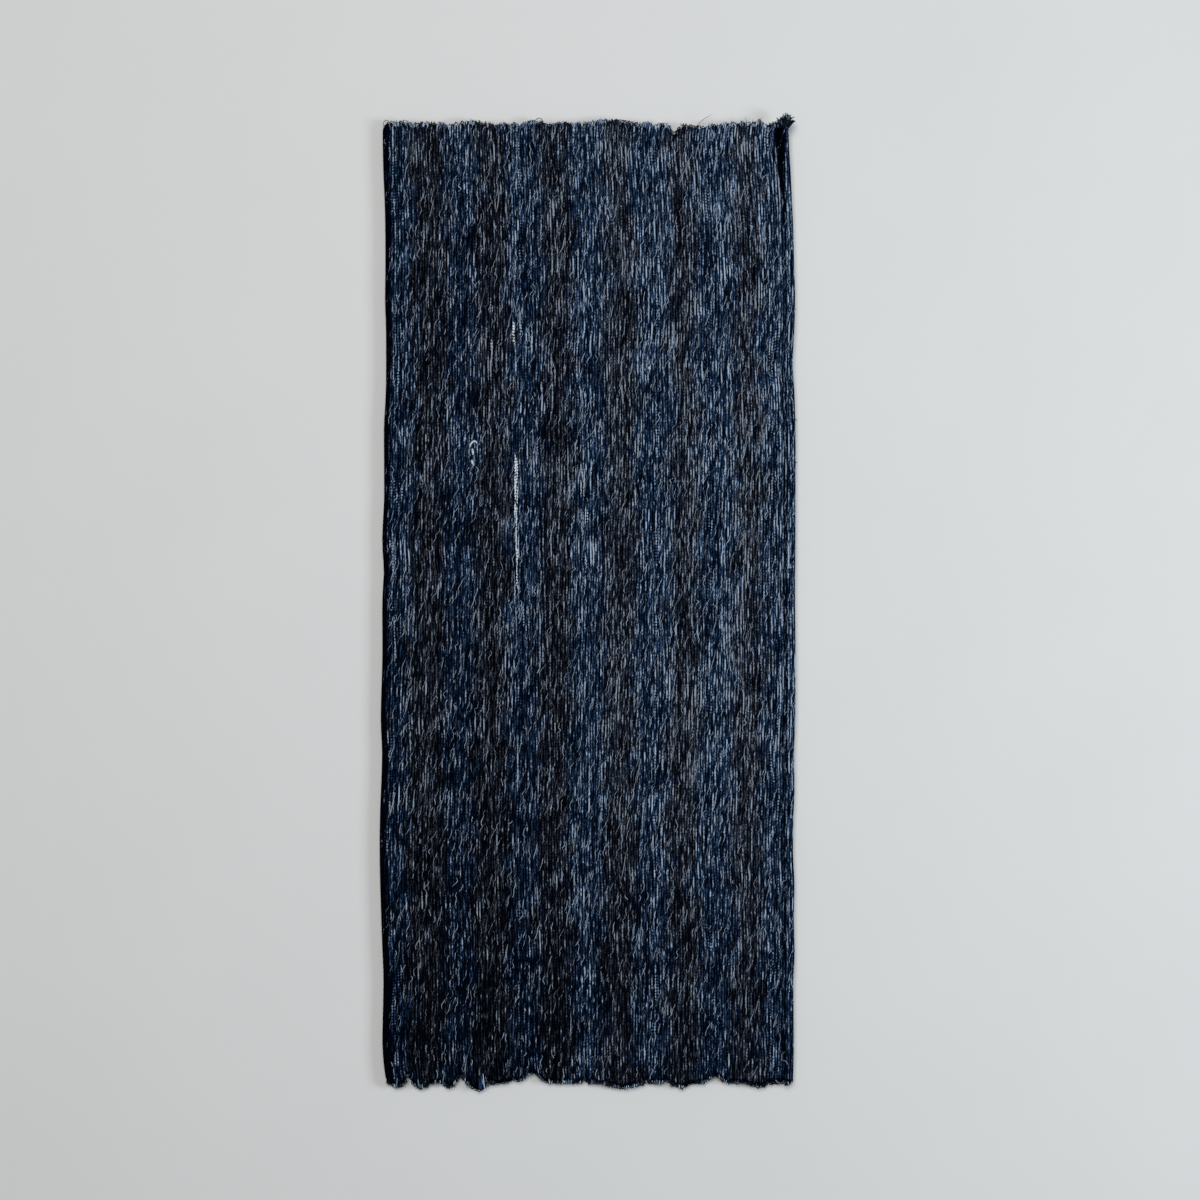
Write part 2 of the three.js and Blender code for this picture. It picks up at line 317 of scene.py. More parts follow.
def new_group(name: str, inputs: dict[str, float | str], outputs: dict[str, str]) -> bpy.types.NodeTree:
    """Starts a shader node group with named sockets.

    Args:
        name: The group's name.
        inputs: Its inputs: a number is a value's default, and "vector" is a vector.
        outputs: Its outputs and their kinds, "value" or "colour".

    Returns:
        The group, with its input and output nodes in place.
    """
    kinds = {"value": "NodeSocketFloat", "vector": "NodeSocketVector", "colour": "NodeSocketColor"}
    group = bpy.data.node_groups.new(name, "ShaderNodeTree")
    for label, default in inputs.items():
        kind = default if isinstance(default, str) else "value"
        socket = group.interface.new_socket(label, in_out="INPUT", socket_type=kinds[kind])
        if not isinstance(default, str):
            socket.default_value = default
    for label, kind in outputs.items():
        group.interface.new_socket(label, in_out="OUTPUT", socket_type=kinds[kind])
    group.nodes.new("NodeGroupInput")
    group.nodes.new("NodeGroupOutput")
    return group


@dataclass(frozen=True)
class RagStreaks:
    """Node group: streaks of torn rag that run along a yarn or a rib.

    Each column of the given width has streaks of its own. It is used by the weave and by the
    loose yarns.
    """

    name: str = "rag_streaks"

    def group(self) -> bpy.types.NodeTree:
        """Builds the group, or finds the one that is there."""
        ready = bpy.data.node_groups.get(self.name)
        if ready:
            return ready
        group = new_group(
            self.name,
            {
                "Place": "vector", "Column": 0.01, "Width": 1.2, "Length": 10.0, "Lean": 0.0,
                "Detail": 1.0, "Layer": 0.0,
            },
            {"Streaks": "value"},
        )
        sheet = NodeSheet(group)
        given = group.nodes["Group Input"].outputs
        parts = sheet.add("ShaderNodeSeparateXYZ", {0: given["Place"]}).outputs
        column = sheet.math("SNAP", parts["X"], given["Column"])
        leaning = sheet.math("SUBTRACT", column, sheet.math("MULTIPLY", parts["Y"], given["Lean"]))
        across = sheet.math("DIVIDE", leaning, given["Width"])
        along = sheet.math("DIVIDE", parts["Y"], given["Length"])
        depth = sheet.total(given["Layer"], parts["Z"])
        streaks = sheet.noise(sheet.vector(across, along, depth), detail=given["Detail"], roughness=0.55)
        sheet.feed(group.nodes["Group Output"].inputs["Streaks"], streaks)
        return group

    def place(self, sheet: NodeSheet, place: Socket, **values: float) -> Socket:
        """Places the group in a material.

        Args:
            sheet: The material's nodes.
            place: Where the streaks are read, in millimetres.
            values: Column, Width, Length, Lean, Detail and Layer.

        Returns:
            The streaks, mostly between -1 and 1.
        """
        node = sheet.add("ShaderNodeGroup", node_tree=self.group())
        sheet.feed(node.inputs["Place"], place)
        for label, value in values.items():
            node.inputs[label].default_value = value
        return node.outputs["Streaks"]


@dataclass(frozen=True)
class SlubStrokes:
    """Node group: short bowed fibres that lie scattered over the ribs, each with a ring of painted shade beside it."""

    name: str = "slub_strokes"

    def group(self) -> bpy.types.NodeTree:
        """Builds the group, or finds the one that is there."""
        ready = bpy.data.node_groups.get(self.name)
        if ready:
            return ready
        group = new_group(
            self.name,
            {
                "Place": "vector", "Spacing X": 5.0, "Spacing Y": 20.0, "Width": 0.6, "Length": 7.0,
                "Lean": 0.15, "Lean Spread": 0.3, "Bow": 2.0, "Share": 0.6, "Layer": 0.0,
            },
            {"Stroke": "value"},
        )
        sheet = NodeSheet(group)
        given = group.nodes["Group Input"].outputs
        parts = sheet.add("ShaderNodeSeparateXYZ", {0: given["Place"]}).outputs
        moved = sheet.math("ADD", sheet.math("DIVIDE", parts["X"], given["Spacing X"]), given["Layer"])
        along = sheet.math("DIVIDE", parts["Y"], given["Spacing Y"])
        cells = sheet.add(
            "ShaderNodeTexVoronoi",
            {"Vector": sheet.vector(moved, along, 0.0), "Scale": 1.0, "Randomness": 1.0},
            voronoi_dimensions="2D",
        )
        middle = sheet.add("ShaderNodeSeparateXYZ", {0: cells.outputs["Position"]}).outputs
        chance = sheet.add("ShaderNodeSeparateColor", {0: cells.outputs["Color"]}).outputs
        aside = sheet.math("MULTIPLY", sheet.math("SUBTRACT", moved, middle["X"]), given["Spacing X"])
        ahead = sheet.math("MULTIPLY", sheet.math("SUBTRACT", along, middle["Y"]), given["Spacing Y"])
        spread = sheet.math("MULTIPLY", sheet.math("SUBTRACT", chance[0], 0.5), given["Lean Spread"])
        lean = sheet.math("MULTIPLY", sheet.math("ADD", spread, given["Lean"]), ahead)
        length = sheet.math("MULTIPLY", given["Length"], sheet.math("MULTIPLY_ADD", chance[1], 1.0, 0.5))
        share_along = sheet.math("DIVIDE", ahead, length)
        squared = sheet.math("MULTIPLY", share_along, share_along)
        bow = sheet.math("MULTIPLY", sheet.math("SUBTRACT", chance[2], 0.5), given["Bow"])
        bend = sheet.math("ADD", lean, sheet.math("MULTIPLY", bow, squared))
        share_aside = sheet.math("DIVIDE", sheet.math("SUBTRACT", aside, bend), given["Width"])
        distance = sheet.math("ADD", sheet.math("MULTIPLY", share_aside, share_aside), squared)
        core = sheet.ramp(distance, 1.0, 0.1)
        # A wider ring round each fibre is taken off: painted shade beside the fibre.
        wide = sheet.math("MULTIPLY", share_aside, 0.36)
        fibre_shade_distance = sheet.math("ADD", sheet.math("MULTIPLY", wide, wide), squared)
        shape = sheet.math("MULTIPLY_ADD", sheet.ramp(fibre_shade_distance, 1.0, 0.3), -0.35, sheet.math("MULTIPLY", core, 1.35))
        pick = sheet.math("FRACT", sheet.math("MULTIPLY", sheet.math("ADD", chance[0], chance[1]), 37.0))
        stroke = sheet.math("MULTIPLY", shape, sheet.math("LESS_THAN", pick, given["Share"]))
        sheet.feed(group.nodes["Group Output"].inputs["Stroke"], stroke)
        return group

    def place(self, sheet: NodeSheet, place: Socket, values: dict[str, float]) -> Socket:
        """Places the group in a material.

        Args:
            sheet: The material's nodes.
            place: Where the fibres are read, in millimetres.
            values: The group's other inputs, by name.

        Returns:
            1 in the middle of a fibre, a little below 0 beside it as painted shade, and 0 elsewhere.
        """
        node = sheet.add("ShaderNodeGroup", node_tree=self.group())
        sheet.feed(node.inputs["Place"], place)
        for label, value in values.items():
            node.inputs[label].default_value = value
        return node.outputs["Stroke"]


def tone_ramp(sheet: NodeSheet, value: Socket, tones: Sequence[tuple[float, Colour]]) -> Socket:
    """A colour for each value from 0 to 1.

    Args:
        sheet: The material's nodes.
        value: What picks the tone.
        tones: (place, linear colour) rows, in rising order.

    Returns:
        The colour.
    """
    node = sheet.add("ShaderNodeValToRGB", {"Fac": value})
    stops = node.color_ramp.elements
    while len(stops) < len(tones):
        stops.new(1.0)
    for stop, (place, colour) in zip(stops, tones):
        stop.position = place
        stop.color = (*colour, 1.0)
    return node.outputs["Color"]


def bare_material(name: str) -> tuple[bpy.types.Material, NodeSheet, bpy.types.Node]:
    """Starts a material.

    Args:
        name: Its name.

    Returns:
        The material, its nodes, and its Principled shader.
    """
    material = bpy.data.materials.new(name)
    material.use_nodes = True
    sheet = NodeSheet(material.node_tree)
    return material, sheet, material.node_tree.nodes["Principled BSDF"]


@dataclass(frozen=True)
class RagWeaveFinish:
    """The rug's cloth: blue and charcoal rag in soft stripes, with pale streaks along its ribs."""

    name: str = "rag_weave"
    place_attribute: str = "weave_place"
    edge_attribute: str = "from_selvedge"
    rib_pitch: float = 383.0 / 154
    rib_start: float = -191.5
    warp_pitch: float = 2.85
    stripe_period: float = 60.6
    stripe_centre: float = -0.75
    roughness: float = 0.92
    specular: float = 0.02

    BLUE = (
        (0.06, (0.0002, 0.0008, 0.0032)),
        (0.22, (0.0006, 0.0026, 0.0090)),
        (0.36, (0.0024, 0.0077, 0.0222)),
        (0.50, (0.0082, 0.0212, 0.0500)),
        (0.63, (0.0248, 0.0520, 0.1095)),
        (0.76, (0.0740, 0.1215, 0.2090)),
        (0.90, (0.3800, 0.4750, 0.6150)),
    )
    CHARCOAL = (
        (0.06, (0.0002, 0.0005, 0.0015)),
        (0.22, (0.0013, 0.0018, 0.0038)),
        (0.36, (0.0039, 0.0047, 0.0086)),
        (0.50, (0.0105, 0.0137, 0.0240)),
        (0.63, (0.0280, 0.0360, 0.0560)),
        (0.76, (0.0675, 0.0830, 0.1175)),
        (0.90, (0.2850, 0.3350, 0.4150)),
    )

    def material(self) -> bpy.types.Material:
        """Builds the cloth's material."""
        material, sheet, shader = bare_material(self.name)
        read = sheet.add("ShaderNodeAttribute", attribute_name=self.place_attribute)
        scaled = sheet.add("ShaderNodeVectorMath", {0: read.outputs["Vector"]}, operation="SCALE")
        scaled.inputs["Scale"].default_value = 1 / MM
        place = scaled.outputs[0]
        parts = sheet.add("ShaderNodeSeparateXYZ", {0: place}).outputs
        across, along = parts["X"], parts["Y"]

        rib = sheet.math("DIVIDE", sheet.math("SUBTRACT", across, self.rib_start), self.rib_pitch)
        groove = self.groove(sheet, rib)
        field = self.tone_field(sheet, place, across, along, rib, groove)
        blue_share = self.stripes(sheet, place, across, along)
        picked = sheet.math("MULTIPLY_ADD", field, 0.212, 0.5, clamp=True)
        colour = sheet.mix_colours(
            blue_share, tone_ramp(sheet, picked, self.CHARCOAL), tone_ramp(sheet, picked, self.BLUE)
        )
        sheet.feed(shader.inputs["Base Color"], colour)
        self.relief(sheet, shader, place, field, groove)
        shader.inputs["Roughness"].default_value = self.roughness
        shader.inputs["Specular IOR Level"].default_value = self.specular
        return material

    def groove(self, sheet: NodeSheet, rib: Socket) -> Socket:
        """1 in the grooves between ribs and 0 on the ribs' crests."""
        phase = sheet.math("FRACT", rib)
        aside = sheet.math("ABSOLUTE", sheet.math("MULTIPLY_ADD", phase, 2.0, -1.0))
        return sheet.math("POWER", aside, 3.0)

    def tone_field(
        self, sheet: NodeSheet, place: Socket, across: Socket, along: Socket, rib: Socket, groove: Socket
    ) -> Socket:
        """How light the cloth is, with painted shade in the grooves, on the left fold's outer side, on the hem's
        flank, beside the curled far right corner and along the selvedge rims, and a painted highlight on the hem's
        outer strip.

        Args:
            sheet: The material's nodes.
            place: Place on the cloth, in millimetres.
            across: Its part across the ribs.
            along: Its part along the ribs.
            rib: The same counted in ribs.
            groove: 1 in the grooves.

        Returns:
            Lightness about 0, mostly between -2.5 and 2.5.
        """
        streaks = RagStreaks()
        line = self.rib_pitch / 2
        moved = sheet.add(
            "ShaderNodeVectorMath", {0: place, 1: (-self.rib_start, 0.0, 0.0)}, operation="ADD"
        ).outputs[0]
        long = self.crisp_lines(sheet, moved, 34.0, 3.0)
        short = self.crisp_lines(sheet, moved, 10.0, 17.0)
        lines = sheet.math("MULTIPLY_ADD", long, 2.1, sheet.math("MULTIPLY", short, 1.15))
        uneven = sheet.noise(
            sheet.vector(sheet.math("DIVIDE", across, 15.0), sheet.math("DIVIDE", along, 32.0), 4.5)
        )
        contrast = sheet.math("MULTIPLY_ADD", uneven, 0.38, 0.98)
        strands = streaks.place(sheet, moved, Column=2 * line, Width=1.0, Length=16.0, Detail=1.0, Layer=31.0)
        fluff = streaks.place(sheet, place, Width=0.8, Length=2.4, Detail=1.0, Layer=43.0)
        ridges = streaks.place(
            sheet, moved, Column=2 * line, Width=2.5, Length=30.0, Lean=0.21, Detail=1.0, Layer=57.0
        )
        clusters = streaks.place(sheet, moved, Column=line, Width=13.0, Length=44.0, Lean=0.25, Detail=2.0, Layer=71.0)
        patches = streaks.place(sheet, place, Width=40.0, Length=70.0, Lean=0.1, Detail=2.0, Layer=83.0)
        wave = sheet.noise(sheet.vector(sheet.math("DIVIDE", across, 9.0), sheet.math("DIVIDE", along, 7.0), 2.5))
        wavy = sheet.add(
            "ShaderNodeVectorMath",
            {0: place, 1: sheet.vector(sheet.math("MULTIPLY", wave, 1.8), 0.0, 0.0)},
            operation="ADD",
        ).outputs[0]
        fibres = SlubStrokes()
        bright = fibres.place(
            sheet, wavy,
            {"Spacing X": 6.0, "Spacing Y": 23.0, "Width": 0.3, "Length": 10.0, "Lean": 0.18, "Lean Spread": 0.3,
             "Bow": 3.0, "Share": 0.6, "Layer": 0.0},
        )
        faint = fibres.place(
            sheet, wavy,
            {"Spacing X": 4.4, "Spacing Y": 15.0, "Width": 0.3, "Length": 6.5, "Lean": 0.2, "Lean Spread": 0.4,
             "Bow": 2.4, "Share": 0.7, "Layer": 31.3},
        )

        number = sheet.math("FLOOR", rib)
        own = sheet.math("MULTIPLY_ADD", sheet.random(number), 1.0, -0.5)
        turn = sheet.math("MULTIPLY_ADD", along, 2 * math.pi / self.warp_pitch, sheet.math("MULTIPLY", own, 9.0))
        bead = sheet.math("SINE", turn)
        pair = sheet.math("FLOOR", sheet.math("MULTIPLY", rib, 0.5))
        chosen = sheet.math("GREATER_THAN", sheet.random(sheet.math("ADD", pair, 0.37)), 0.9)
        stretch_place = sheet.vector(sheet.math("MULTIPLY", pair, 7.3), sheet.math("DIVIDE", along, 34.0), 5.5)
        shown = sheet.math("MULTIPLY", chosen, sheet.ramp(sheet.noise(stretch_place), 0.1, 0.4))
        bead_strength = sheet.math("MULTIPLY_ADD", shown, 0.5, 0.16)

        # Broad changes of tone: darker towards the near end and lighter towards the far end, lighter from the left
        # fold towards the hem side, and fainter fibres towards the near end.
        far_end = sheet.math("MULTIPLY_ADD", sheet.ramp(along, -430.0, -60.0), 0.55, -0.45)
        farthest = sheet.math("MULTIPLY", sheet.ramp(along, 330.0, 440.0), 0.18)
        near_half = sheet.math(
            "MULTIPLY", sheet.ramp(along, 60.0, -150.0), sheet.ramp(across, -150.0, 150.0, -0.09, 0.14)
        )
        sparser = sheet.ramp(along, -430.0, -230.0, 0.72, 1.0)
        middle = sheet.math("MULTIPLY_ADD", sheet.ramp(along, -120.0, 330.0), 0.1, -0.1)
        hem_side = sheet.math("MULTIPLY_ADD", sheet.ramp(across, -150.0, 150.0), 0.55, -0.345)
        # Painted shade: the outer side of the left fold, which turns down away from the light, is darkened nearly to
        # black; the band widens towards the near end.
        fold_shade_across = sheet.math("MULTIPLY_ADD", sheet.ramp(along, -300.0, -430.0), -3.6, across)
        fold_painted_shade = sheet.math("MULTIPLY", sheet.ramp(fold_shade_across, -191.0, -188.4, 1.0, 0.0), -2.8)
        # Painted shade on the hem's flank, which faces away from the light, and a painted highlight on the hem's outer
        # strip, which faces it.
        hem_flank_painted_shade = sheet.math("MULTIPLY", sheet.ramp(across, 183.2, 184.6), sheet.ramp(across, 188.4, 187.0))
        hem_painted_highlight = sheet.math("MULTIPLY", sheet.ramp(across, 187.4, 189.0), 0.15)
        # Painted shadow: a wedge beside the curled hem at the far right corner is darkened to black, its edges frayed
        # by the fluff noise.
        torn = sheet.math("MULTIPLY", fluff, 1.1)
        from_left = sheet.total(across, sheet.ramp(along, 365.0, 457.0, -186.0, -181.8), torn)
        from_right = sheet.total(sheet.ramp(along, 385.0, 450.0, 188.2, 191.6), sheet.math("MULTIPLY", across, -1.0), torn)
        corner_shadow_mask = sheet.math("MULTIPLY", sheet.ramp(from_left, -0.6, 0.6), sheet.ramp(from_right, -0.6, 0.6))
        corner_painted_shadow = sheet.math("MULTIPLY", sheet.math("MULTIPLY", corner_shadow_mask, sheet.ramp(along, 350.0, 375.0)), -3.4)
        # Painted shade along the selvedge rims, where the cloth rounds down away from the light, deepest at the near
        # end.
        edge = sheet.add("ShaderNodeAttribute", attribute_name=self.edge_attribute).outputs["Fac"]
        past = sheet.ramp(sheet.math("DIVIDE", edge, MM), 5.5, 1.2)
        rim = sheet.math("MULTIPLY", past, sheet.ramp(along, -100.0, 100.0, -2.6, -0.7))
        return sheet.total(
            sheet.math("MULTIPLY", lines, contrast),
            sheet.math("MULTIPLY", strands, 0.25),
            sheet.math("MULTIPLY", fluff, 1.1),
            sheet.math("MULTIPLY", ridges, 1.25),
            sheet.math("MULTIPLY", clusters, 0.6),
            sheet.math("MULTIPLY", patches, 0.25),
            sheet.math("MULTIPLY", sheet.math("MULTIPLY", bright, 4.2), sparser),
            sheet.math("MULTIPLY", sheet.math("MULTIPLY", faint, 1.5), sparser),
            sheet.math("MULTIPLY", own, 0.6),
            sheet.math("MULTIPLY", bead, bead_strength),
            # Painted shade in the grooves between the ribs.
            sheet.math("MULTIPLY_ADD", groove, -2.0, -0.05),
            sheet.math("MULTIPLY", hem_flank_painted_shade, -0.65),
            corner_painted_shadow,
            rim,
            middle,
            far_end,
            farthest,
            near_half,
            hem_side,
            hem_painted_highlight,
            fold_painted_shade,
        )

    def crisp_lines(self, sheet: NodeSheet, moved: Socket, length: float, layer: float) -> Socket:
        """Fine lines along the ribs, two to a rib, each darker where its neighbours are light.

        Args:
            sheet: The material's nodes.
            moved: Place on the cloth, counted from the first rib.
            length: How long the lines' changes are.
            layer: Tells one set of lines from another.

        Returns:
            How light each line is, about 0.
        """
        line = self.rib_pitch / 2
        lines = []
        for aside in (0.0, -line, line):
            place = sheet.add(
                "ShaderNodeVectorMath", {0: moved, 1: (aside, 0.0, 0.0)}, operation="ADD"
            ).outputs[0]
            lines.append(
                RagStreaks().place(
                    sheet, place, Column=line, Width=0.35, Length=length, Detail=1.0, Layer=layer
                )
            )
        beside = sheet.math("ADD", lines[1], lines[2])
        return sheet.math("MULTIPLY_ADD", beside, -0.35, lines[0])

    def stripes(self, sheet: NodeSheet, place: Socket, across: Socket, along: Socket) -> Socket:
        """1 in the blue stripes and 0 in the charcoal ones, with frayed edges."""
        streaks = RagStreaks()
        column = self.rib_pitch
        wander = streaks.place(
            sheet, place, Column=column, Width=22.0, Length=40.0, Lean=0.35, Detail=2.0, Layer=101.0
        )
        frayed = streaks.place(sheet, place, Column=column, Width=1.0, Length=20.0, Detail=1.0, Layer=127.0)
        moved = sheet.total(across, -self.stripe_centre, sheet.math("MULTIPLY", wander, 12.0))
        turn = sheet.math("MULTIPLY", moved, 2 * math.pi / self.stripe_period)
        hem = sheet.math("MULTIPLY", sheet.ramp(across, 186.0, 189.0), 1.3)
        bluer = sheet.math("ADD", sheet.ramp(across, -190.0, 190.0, -0.18, 0.28), sheet.ramp(along, -420.0, 420.0, -0.14, 0.16))
        wave = sheet.total(sheet.math("COSINE", turn), sheet.math("MULTIPLY", frayed, 0.7), hem, bluer)
        return sheet.ramp(wave, -0.65, 0.65)

    def relief(
        self, sheet: NodeSheet, shader: bpy.types.Node, place: Socket, field: Socket, groove: Socket
    ) -> None:
        """Raises the rag strands and sinks the grooves.

        Args:
            sheet: The material's nodes.
            shader: Its Principled shader.
            place: Place on the cloth, in millimetres.
            field: How light the cloth is.
            groove: 1 in the grooves.
        """
        fuzz = sheet.noise(sheet.add("ShaderNodeVectorMath", {0: place, 1: (2.2, 1.1, 1.0)}, operation="MULTIPLY").outputs[0], 2.0)
        height = sheet.total(
            sheet.math("MULTIPLY", field, 0.25),
            sheet.math("MULTIPLY", groove, -0.6),
            sheet.math("MULTIPLY", fuzz, 0.2),
        )
        node = sheet.add("ShaderNodeBump", {"Strength": 0.5, "Distance": 0.35 * MM, "Height": height})
        sheet.feed(shader.inputs["Normal"], node.outputs["Normal"])


@dataclass(frozen=True)
class YarnFinish:
    """A loose yarn or frayed rag: two tones in twisted streaks."""

    name: str
    dark: Colour
    light: Colour
    twist: float = 2.2
    place_attribute: str = "yarn_place"
    roughness: float = 0.95
    specular: float = 0.05

    def material(self) -> bpy.types.Material:
        """Builds the yarn's material."""
        material, sheet, shader = bare_material(self.name)
        read = sheet.add("ShaderNodeAttribute", attribute_name=self.place_attribute)
        scaled = sheet.add("ShaderNodeVectorMath", {0: read.outputs["Vector"]}, operation="SCALE")
        scaled.inputs["Scale"].default_value = 1 / MM
        place = scaled.outputs[0]
        parts = sheet.add("ShaderNodeSeparateXYZ", {0: place}).outputs
        turn = sheet.math("MULTIPLY", parts["Y"], 2 * math.pi / self.twist)
        ply = sheet.math("SINE", sheet.math("MULTIPLY_ADD", parts["X"], 2 * math.pi, turn))
        streaks = RagStreaks().place(sheet, place, Width=0.5, Length=1.6, Detail=2.0, Layer=11.0)
        share = sheet.total(0.5, sheet.math("MULTIPLY", ply, 0.22), sheet.math("MULTIPLY", streaks, 0.55))
        colour = sheet.mix_colours(sheet.math("MAXIMUM", sheet.math("MINIMUM", share, 1.0), 0.0),
                                   (*self.dark, 1.0), (*self.light, 1.0))
        sheet.feed(shader.inputs["Base Color"], colour)
        bumped = sheet.add("ShaderNodeBump", {"Strength": 0.4, "Distance": 0.12 * MM, "Height": share})
        sheet.feed(shader.inputs["Normal"], bumped.outputs["Normal"])
        shader.inputs["Roughness"].default_value = self.roughness
        shader.inputs["Specular IOR Level"].default_value = self.specular
        return material


@dataclass(frozen=True)
class FloorFinish:
    """The plain pale floor."""

    name: str = "pale_floor"
    colour: Colour = (0.782, 0.782, 0.785)
    shade: Colour = (0.752, 0.752, 0.755)

    def material(self) -> bpy.types.Material:
        """Builds the floor's material."""
        material, sheet, shader = bare_material(self.name)
        place = sheet.add("ShaderNodeTexCoord").outputs["Object"]
        node = sheet.add("ShaderNodeTexNoise", {"Vector": place, "Scale": 7.0, "Detail": 6.0})
        colour = sheet.mix_colours(node.outputs[0], (*self.shade, 1.0), (*self.colour, 1.0))
        sheet.feed(shader.inputs["Base Color"], colour)
        shader.inputs["Roughness"].default_value = 0.9
        shader.inputs["Specular IOR Level"].default_value = 0.1
        return material


@dataclass
class FoldedCloth:
    """The rug's one cloth, folded back and forth into three layers."""

    folded_width: float = 390.0
    folded_length: float = 912.0
    lower_length: float = 888.0
    cloth: float = 3.2
    air: float = 0.6
    tuck: float = 20.0
    lower_fold_inset: float = 2.5
    turn_inset: float = 2.0
    fold_puff: float = 0.9
    fold_puff_reach: float = 45.0
    fold_droop: float = 1.4
    rim_length: float = 6.0
    rim_drop: float = 1.8
    rim_nose: float = 1.8
    rib_depth: float = 0.7
    lobe_depth: float = 26.0
    lining_step: float = 7.5
    rows: int = 92
    flat_width: float = 0.914
    flat_length: float = 1.15

    # Ribs in each stretch, and the first rib's number counted from the left end of the top layer
    RIBS = {
        Stretch.LOWEST: (-307, 146), Stretch.RIGHT_FOLD: (-161, 4), Stretch.MIDDLE: (-157, 153),
        Stretch.LEFT_FOLD: (-4, 4), Stretch.TOP: (0, 154), Stretch.ROLL: (154, 4), Stretch.TURN: (158, 1),
    }
    # Shares at a stretch's start and end: swelling, puffed, on top
    SHARES = {
        Stretch.LOWEST: ((0, 0), (0, 0), (0, 0)), Stretch.RIGHT_FOLD: ((0, 0.5), (0, 1), (0, 0)),
        Stretch.MIDDLE: ((0.5, 0.5), (1, 1), (0, 0)), Stretch.LEFT_FOLD: ((0.5, 1), (1, 1), (0, 1)),
        Stretch.TOP: ((1, 1), (1, 1), (1, 1)), Stretch.ROLL: ((1, 1), (1, 1), (1, 1)),
        Stretch.TURN: ((1, 1), (1, 1), (1, 1)),
    }

    def __post_init__(self) -> None:
        """Works out what follows from the sizes."""
        self.finish = RagWeaveFinish()
        self.bend_radius = (self.cloth + self.air) / 2
        self.bend_reach = self.bend_radius + self.cloth / 2
        self.under_height = self.cloth / 2
        self.middle_height = self.under_height + self.cloth + self.air
        self.top_height = self.middle_height + self.cloth + self.air
        self.wobble = SoftNoise(11, 16.0, 55.0)
        self.fine_wobble = SoftNoise(12, 4.0, 24.0)
        self.depths = SoftNoise(13, 2.49, 20.0)
        self.loops = SoftNoise(14, 2.49, 1000.0)
        self.ripple = SoftNoise(15, 34.0, 60.0)
        edge = self.row_distances()
        half = self.folded_length / 2
        self.row_share = np.concatenate([-(1 - edge / half), (1 - edge[::-1] / half)])
        self.row_y = self.row_share * half
        self.left = -self.folded_width / 2 + smooth_table(LEFT_EDGE, 1, self.row_y)
        self.right = self.folded_width / 2 + smooth_table(RIGHT_EDGE, 1, self.row_y)
        self.lower_right = self.right - self.lower_fold_inset
        self.foot = smooth_table(HEM, 1, self.row_y)
        self.crest = smooth_table(HEM, 2, self.row_y)
        self.curl = smooth_table(HEM, 3, self.row_y)
        self.shoulder = smooth_table(SHOULDER, 1, self.row_y)

    def row_distances(self) -> np.ndarray:
        """Distances of one half's rows from the selvedge, close together at the rim."""
        rim = np.array([0.0, 0.6, 1.5, 2.8, 4.6, 7.0, 10.5, 15.5, 22.0])
        rest = self.rows // 2 - len(rim)
        step = (self.folded_length / 2 - rim[-1]) / (rest + 0.5)
        return np.concatenate([rim, rim[-1] + step * np.arange(1, rest + 1)])

    def share(self, stretch: Stretch, column: int, along: float) -> float:
        """One of the stretch's shares, part of the way along it."""
        start, end = self.SHARES[stretch][column]
        return float(start + (end - start) * ease(along))

    def bend(
        self, centre_x: np.ndarray, centre_z: np.ndarray, start: float, end: float, facing: int, along: float
    ) -> tuple[np.ndarray, ...]:
        """A bend round a level axis.

        Args:
            centre_x: Where the axis is, in each row.
            centre_z: Its height.
            start: First angle.
            end: Last angle.
            facing: -1 where the right side is inside.
            along: Share of the way round.

        Returns:
            x and z of the cloth's middle, and the two parts of the right side's direction.
        """
        angle = start + (end - start) * along
        cos, sin = math.cos(angle), math.sin(angle)
        ones = np.ones_like(self.row_y)
        return (
            centre_x + self.bend_radius * cos,
            centre_z + self.bend_radius * sin,
            facing * cos * ones,
            facing * sin * ones,
        )

    def middle_of(self, stretch: Stretch, along: float) -> tuple[np.ndarray, ...]:
        """Where the middle of the cloth runs.

        Args:
            stretch: Which stretch.
            along: Share of the way along it.

        Returns:
            x and z in each row, and the two parts of the right side's direction.
        """
        ones = np.ones_like(self.row_y)
        left_end = self.left + self.bend_reach
        right_end = self.right - self.bend_reach
        lower_end = self.lower_right - self.bend_reach
        quarter = math.pi / 2
        if stretch is Stretch.LOWEST:
            start = self.left + self.tuck
            return start + (lower_end - start) * along, self.under_height * ones, 0 * ones, ones
        if stretch is Stretch.RIGHT_FOLD:
            height = self.under_height + self.bend_radius
            return self.bend(lower_end, height * ones, -quarter, quarter, -1, along)
        if stretch is Stretch.MIDDLE:
            return lower_end + (left_end - lower_end) * along, self.middle_height * ones, 0 * ones, -ones
        if stretch is Stretch.LEFT_FOLD:
            height = self.middle_height + self.bend_radius
            return self.bend(left_end, height * ones, -quarter, -3 * quarter, 1, along)
        if stretch is Stretch.TOP:
            x = left_end + (right_end - left_end) * along
            return x, self.top_height + self.flank(x), 0 * ones, ones
        if stretch is Stretch.ROLL:
            height = self.top_height + self.bend_radius + self.curl
            return self.bend(right_end, height, quarter, -quarter, 1, along)
        inner = self.right - self.crest
        return right_end + (inner - right_end) * along, self.top_height + self.curl, 0 * ones, -ones

    def flank(self, x: np.ndarray) -> np.ndarray:
        """How far the top layer rises onto its turned hem."""
        up = ease((x - (self.right - self.foot)) / (self.foot - self.crest))
        return (self.cloth + self.air + self.curl) * up

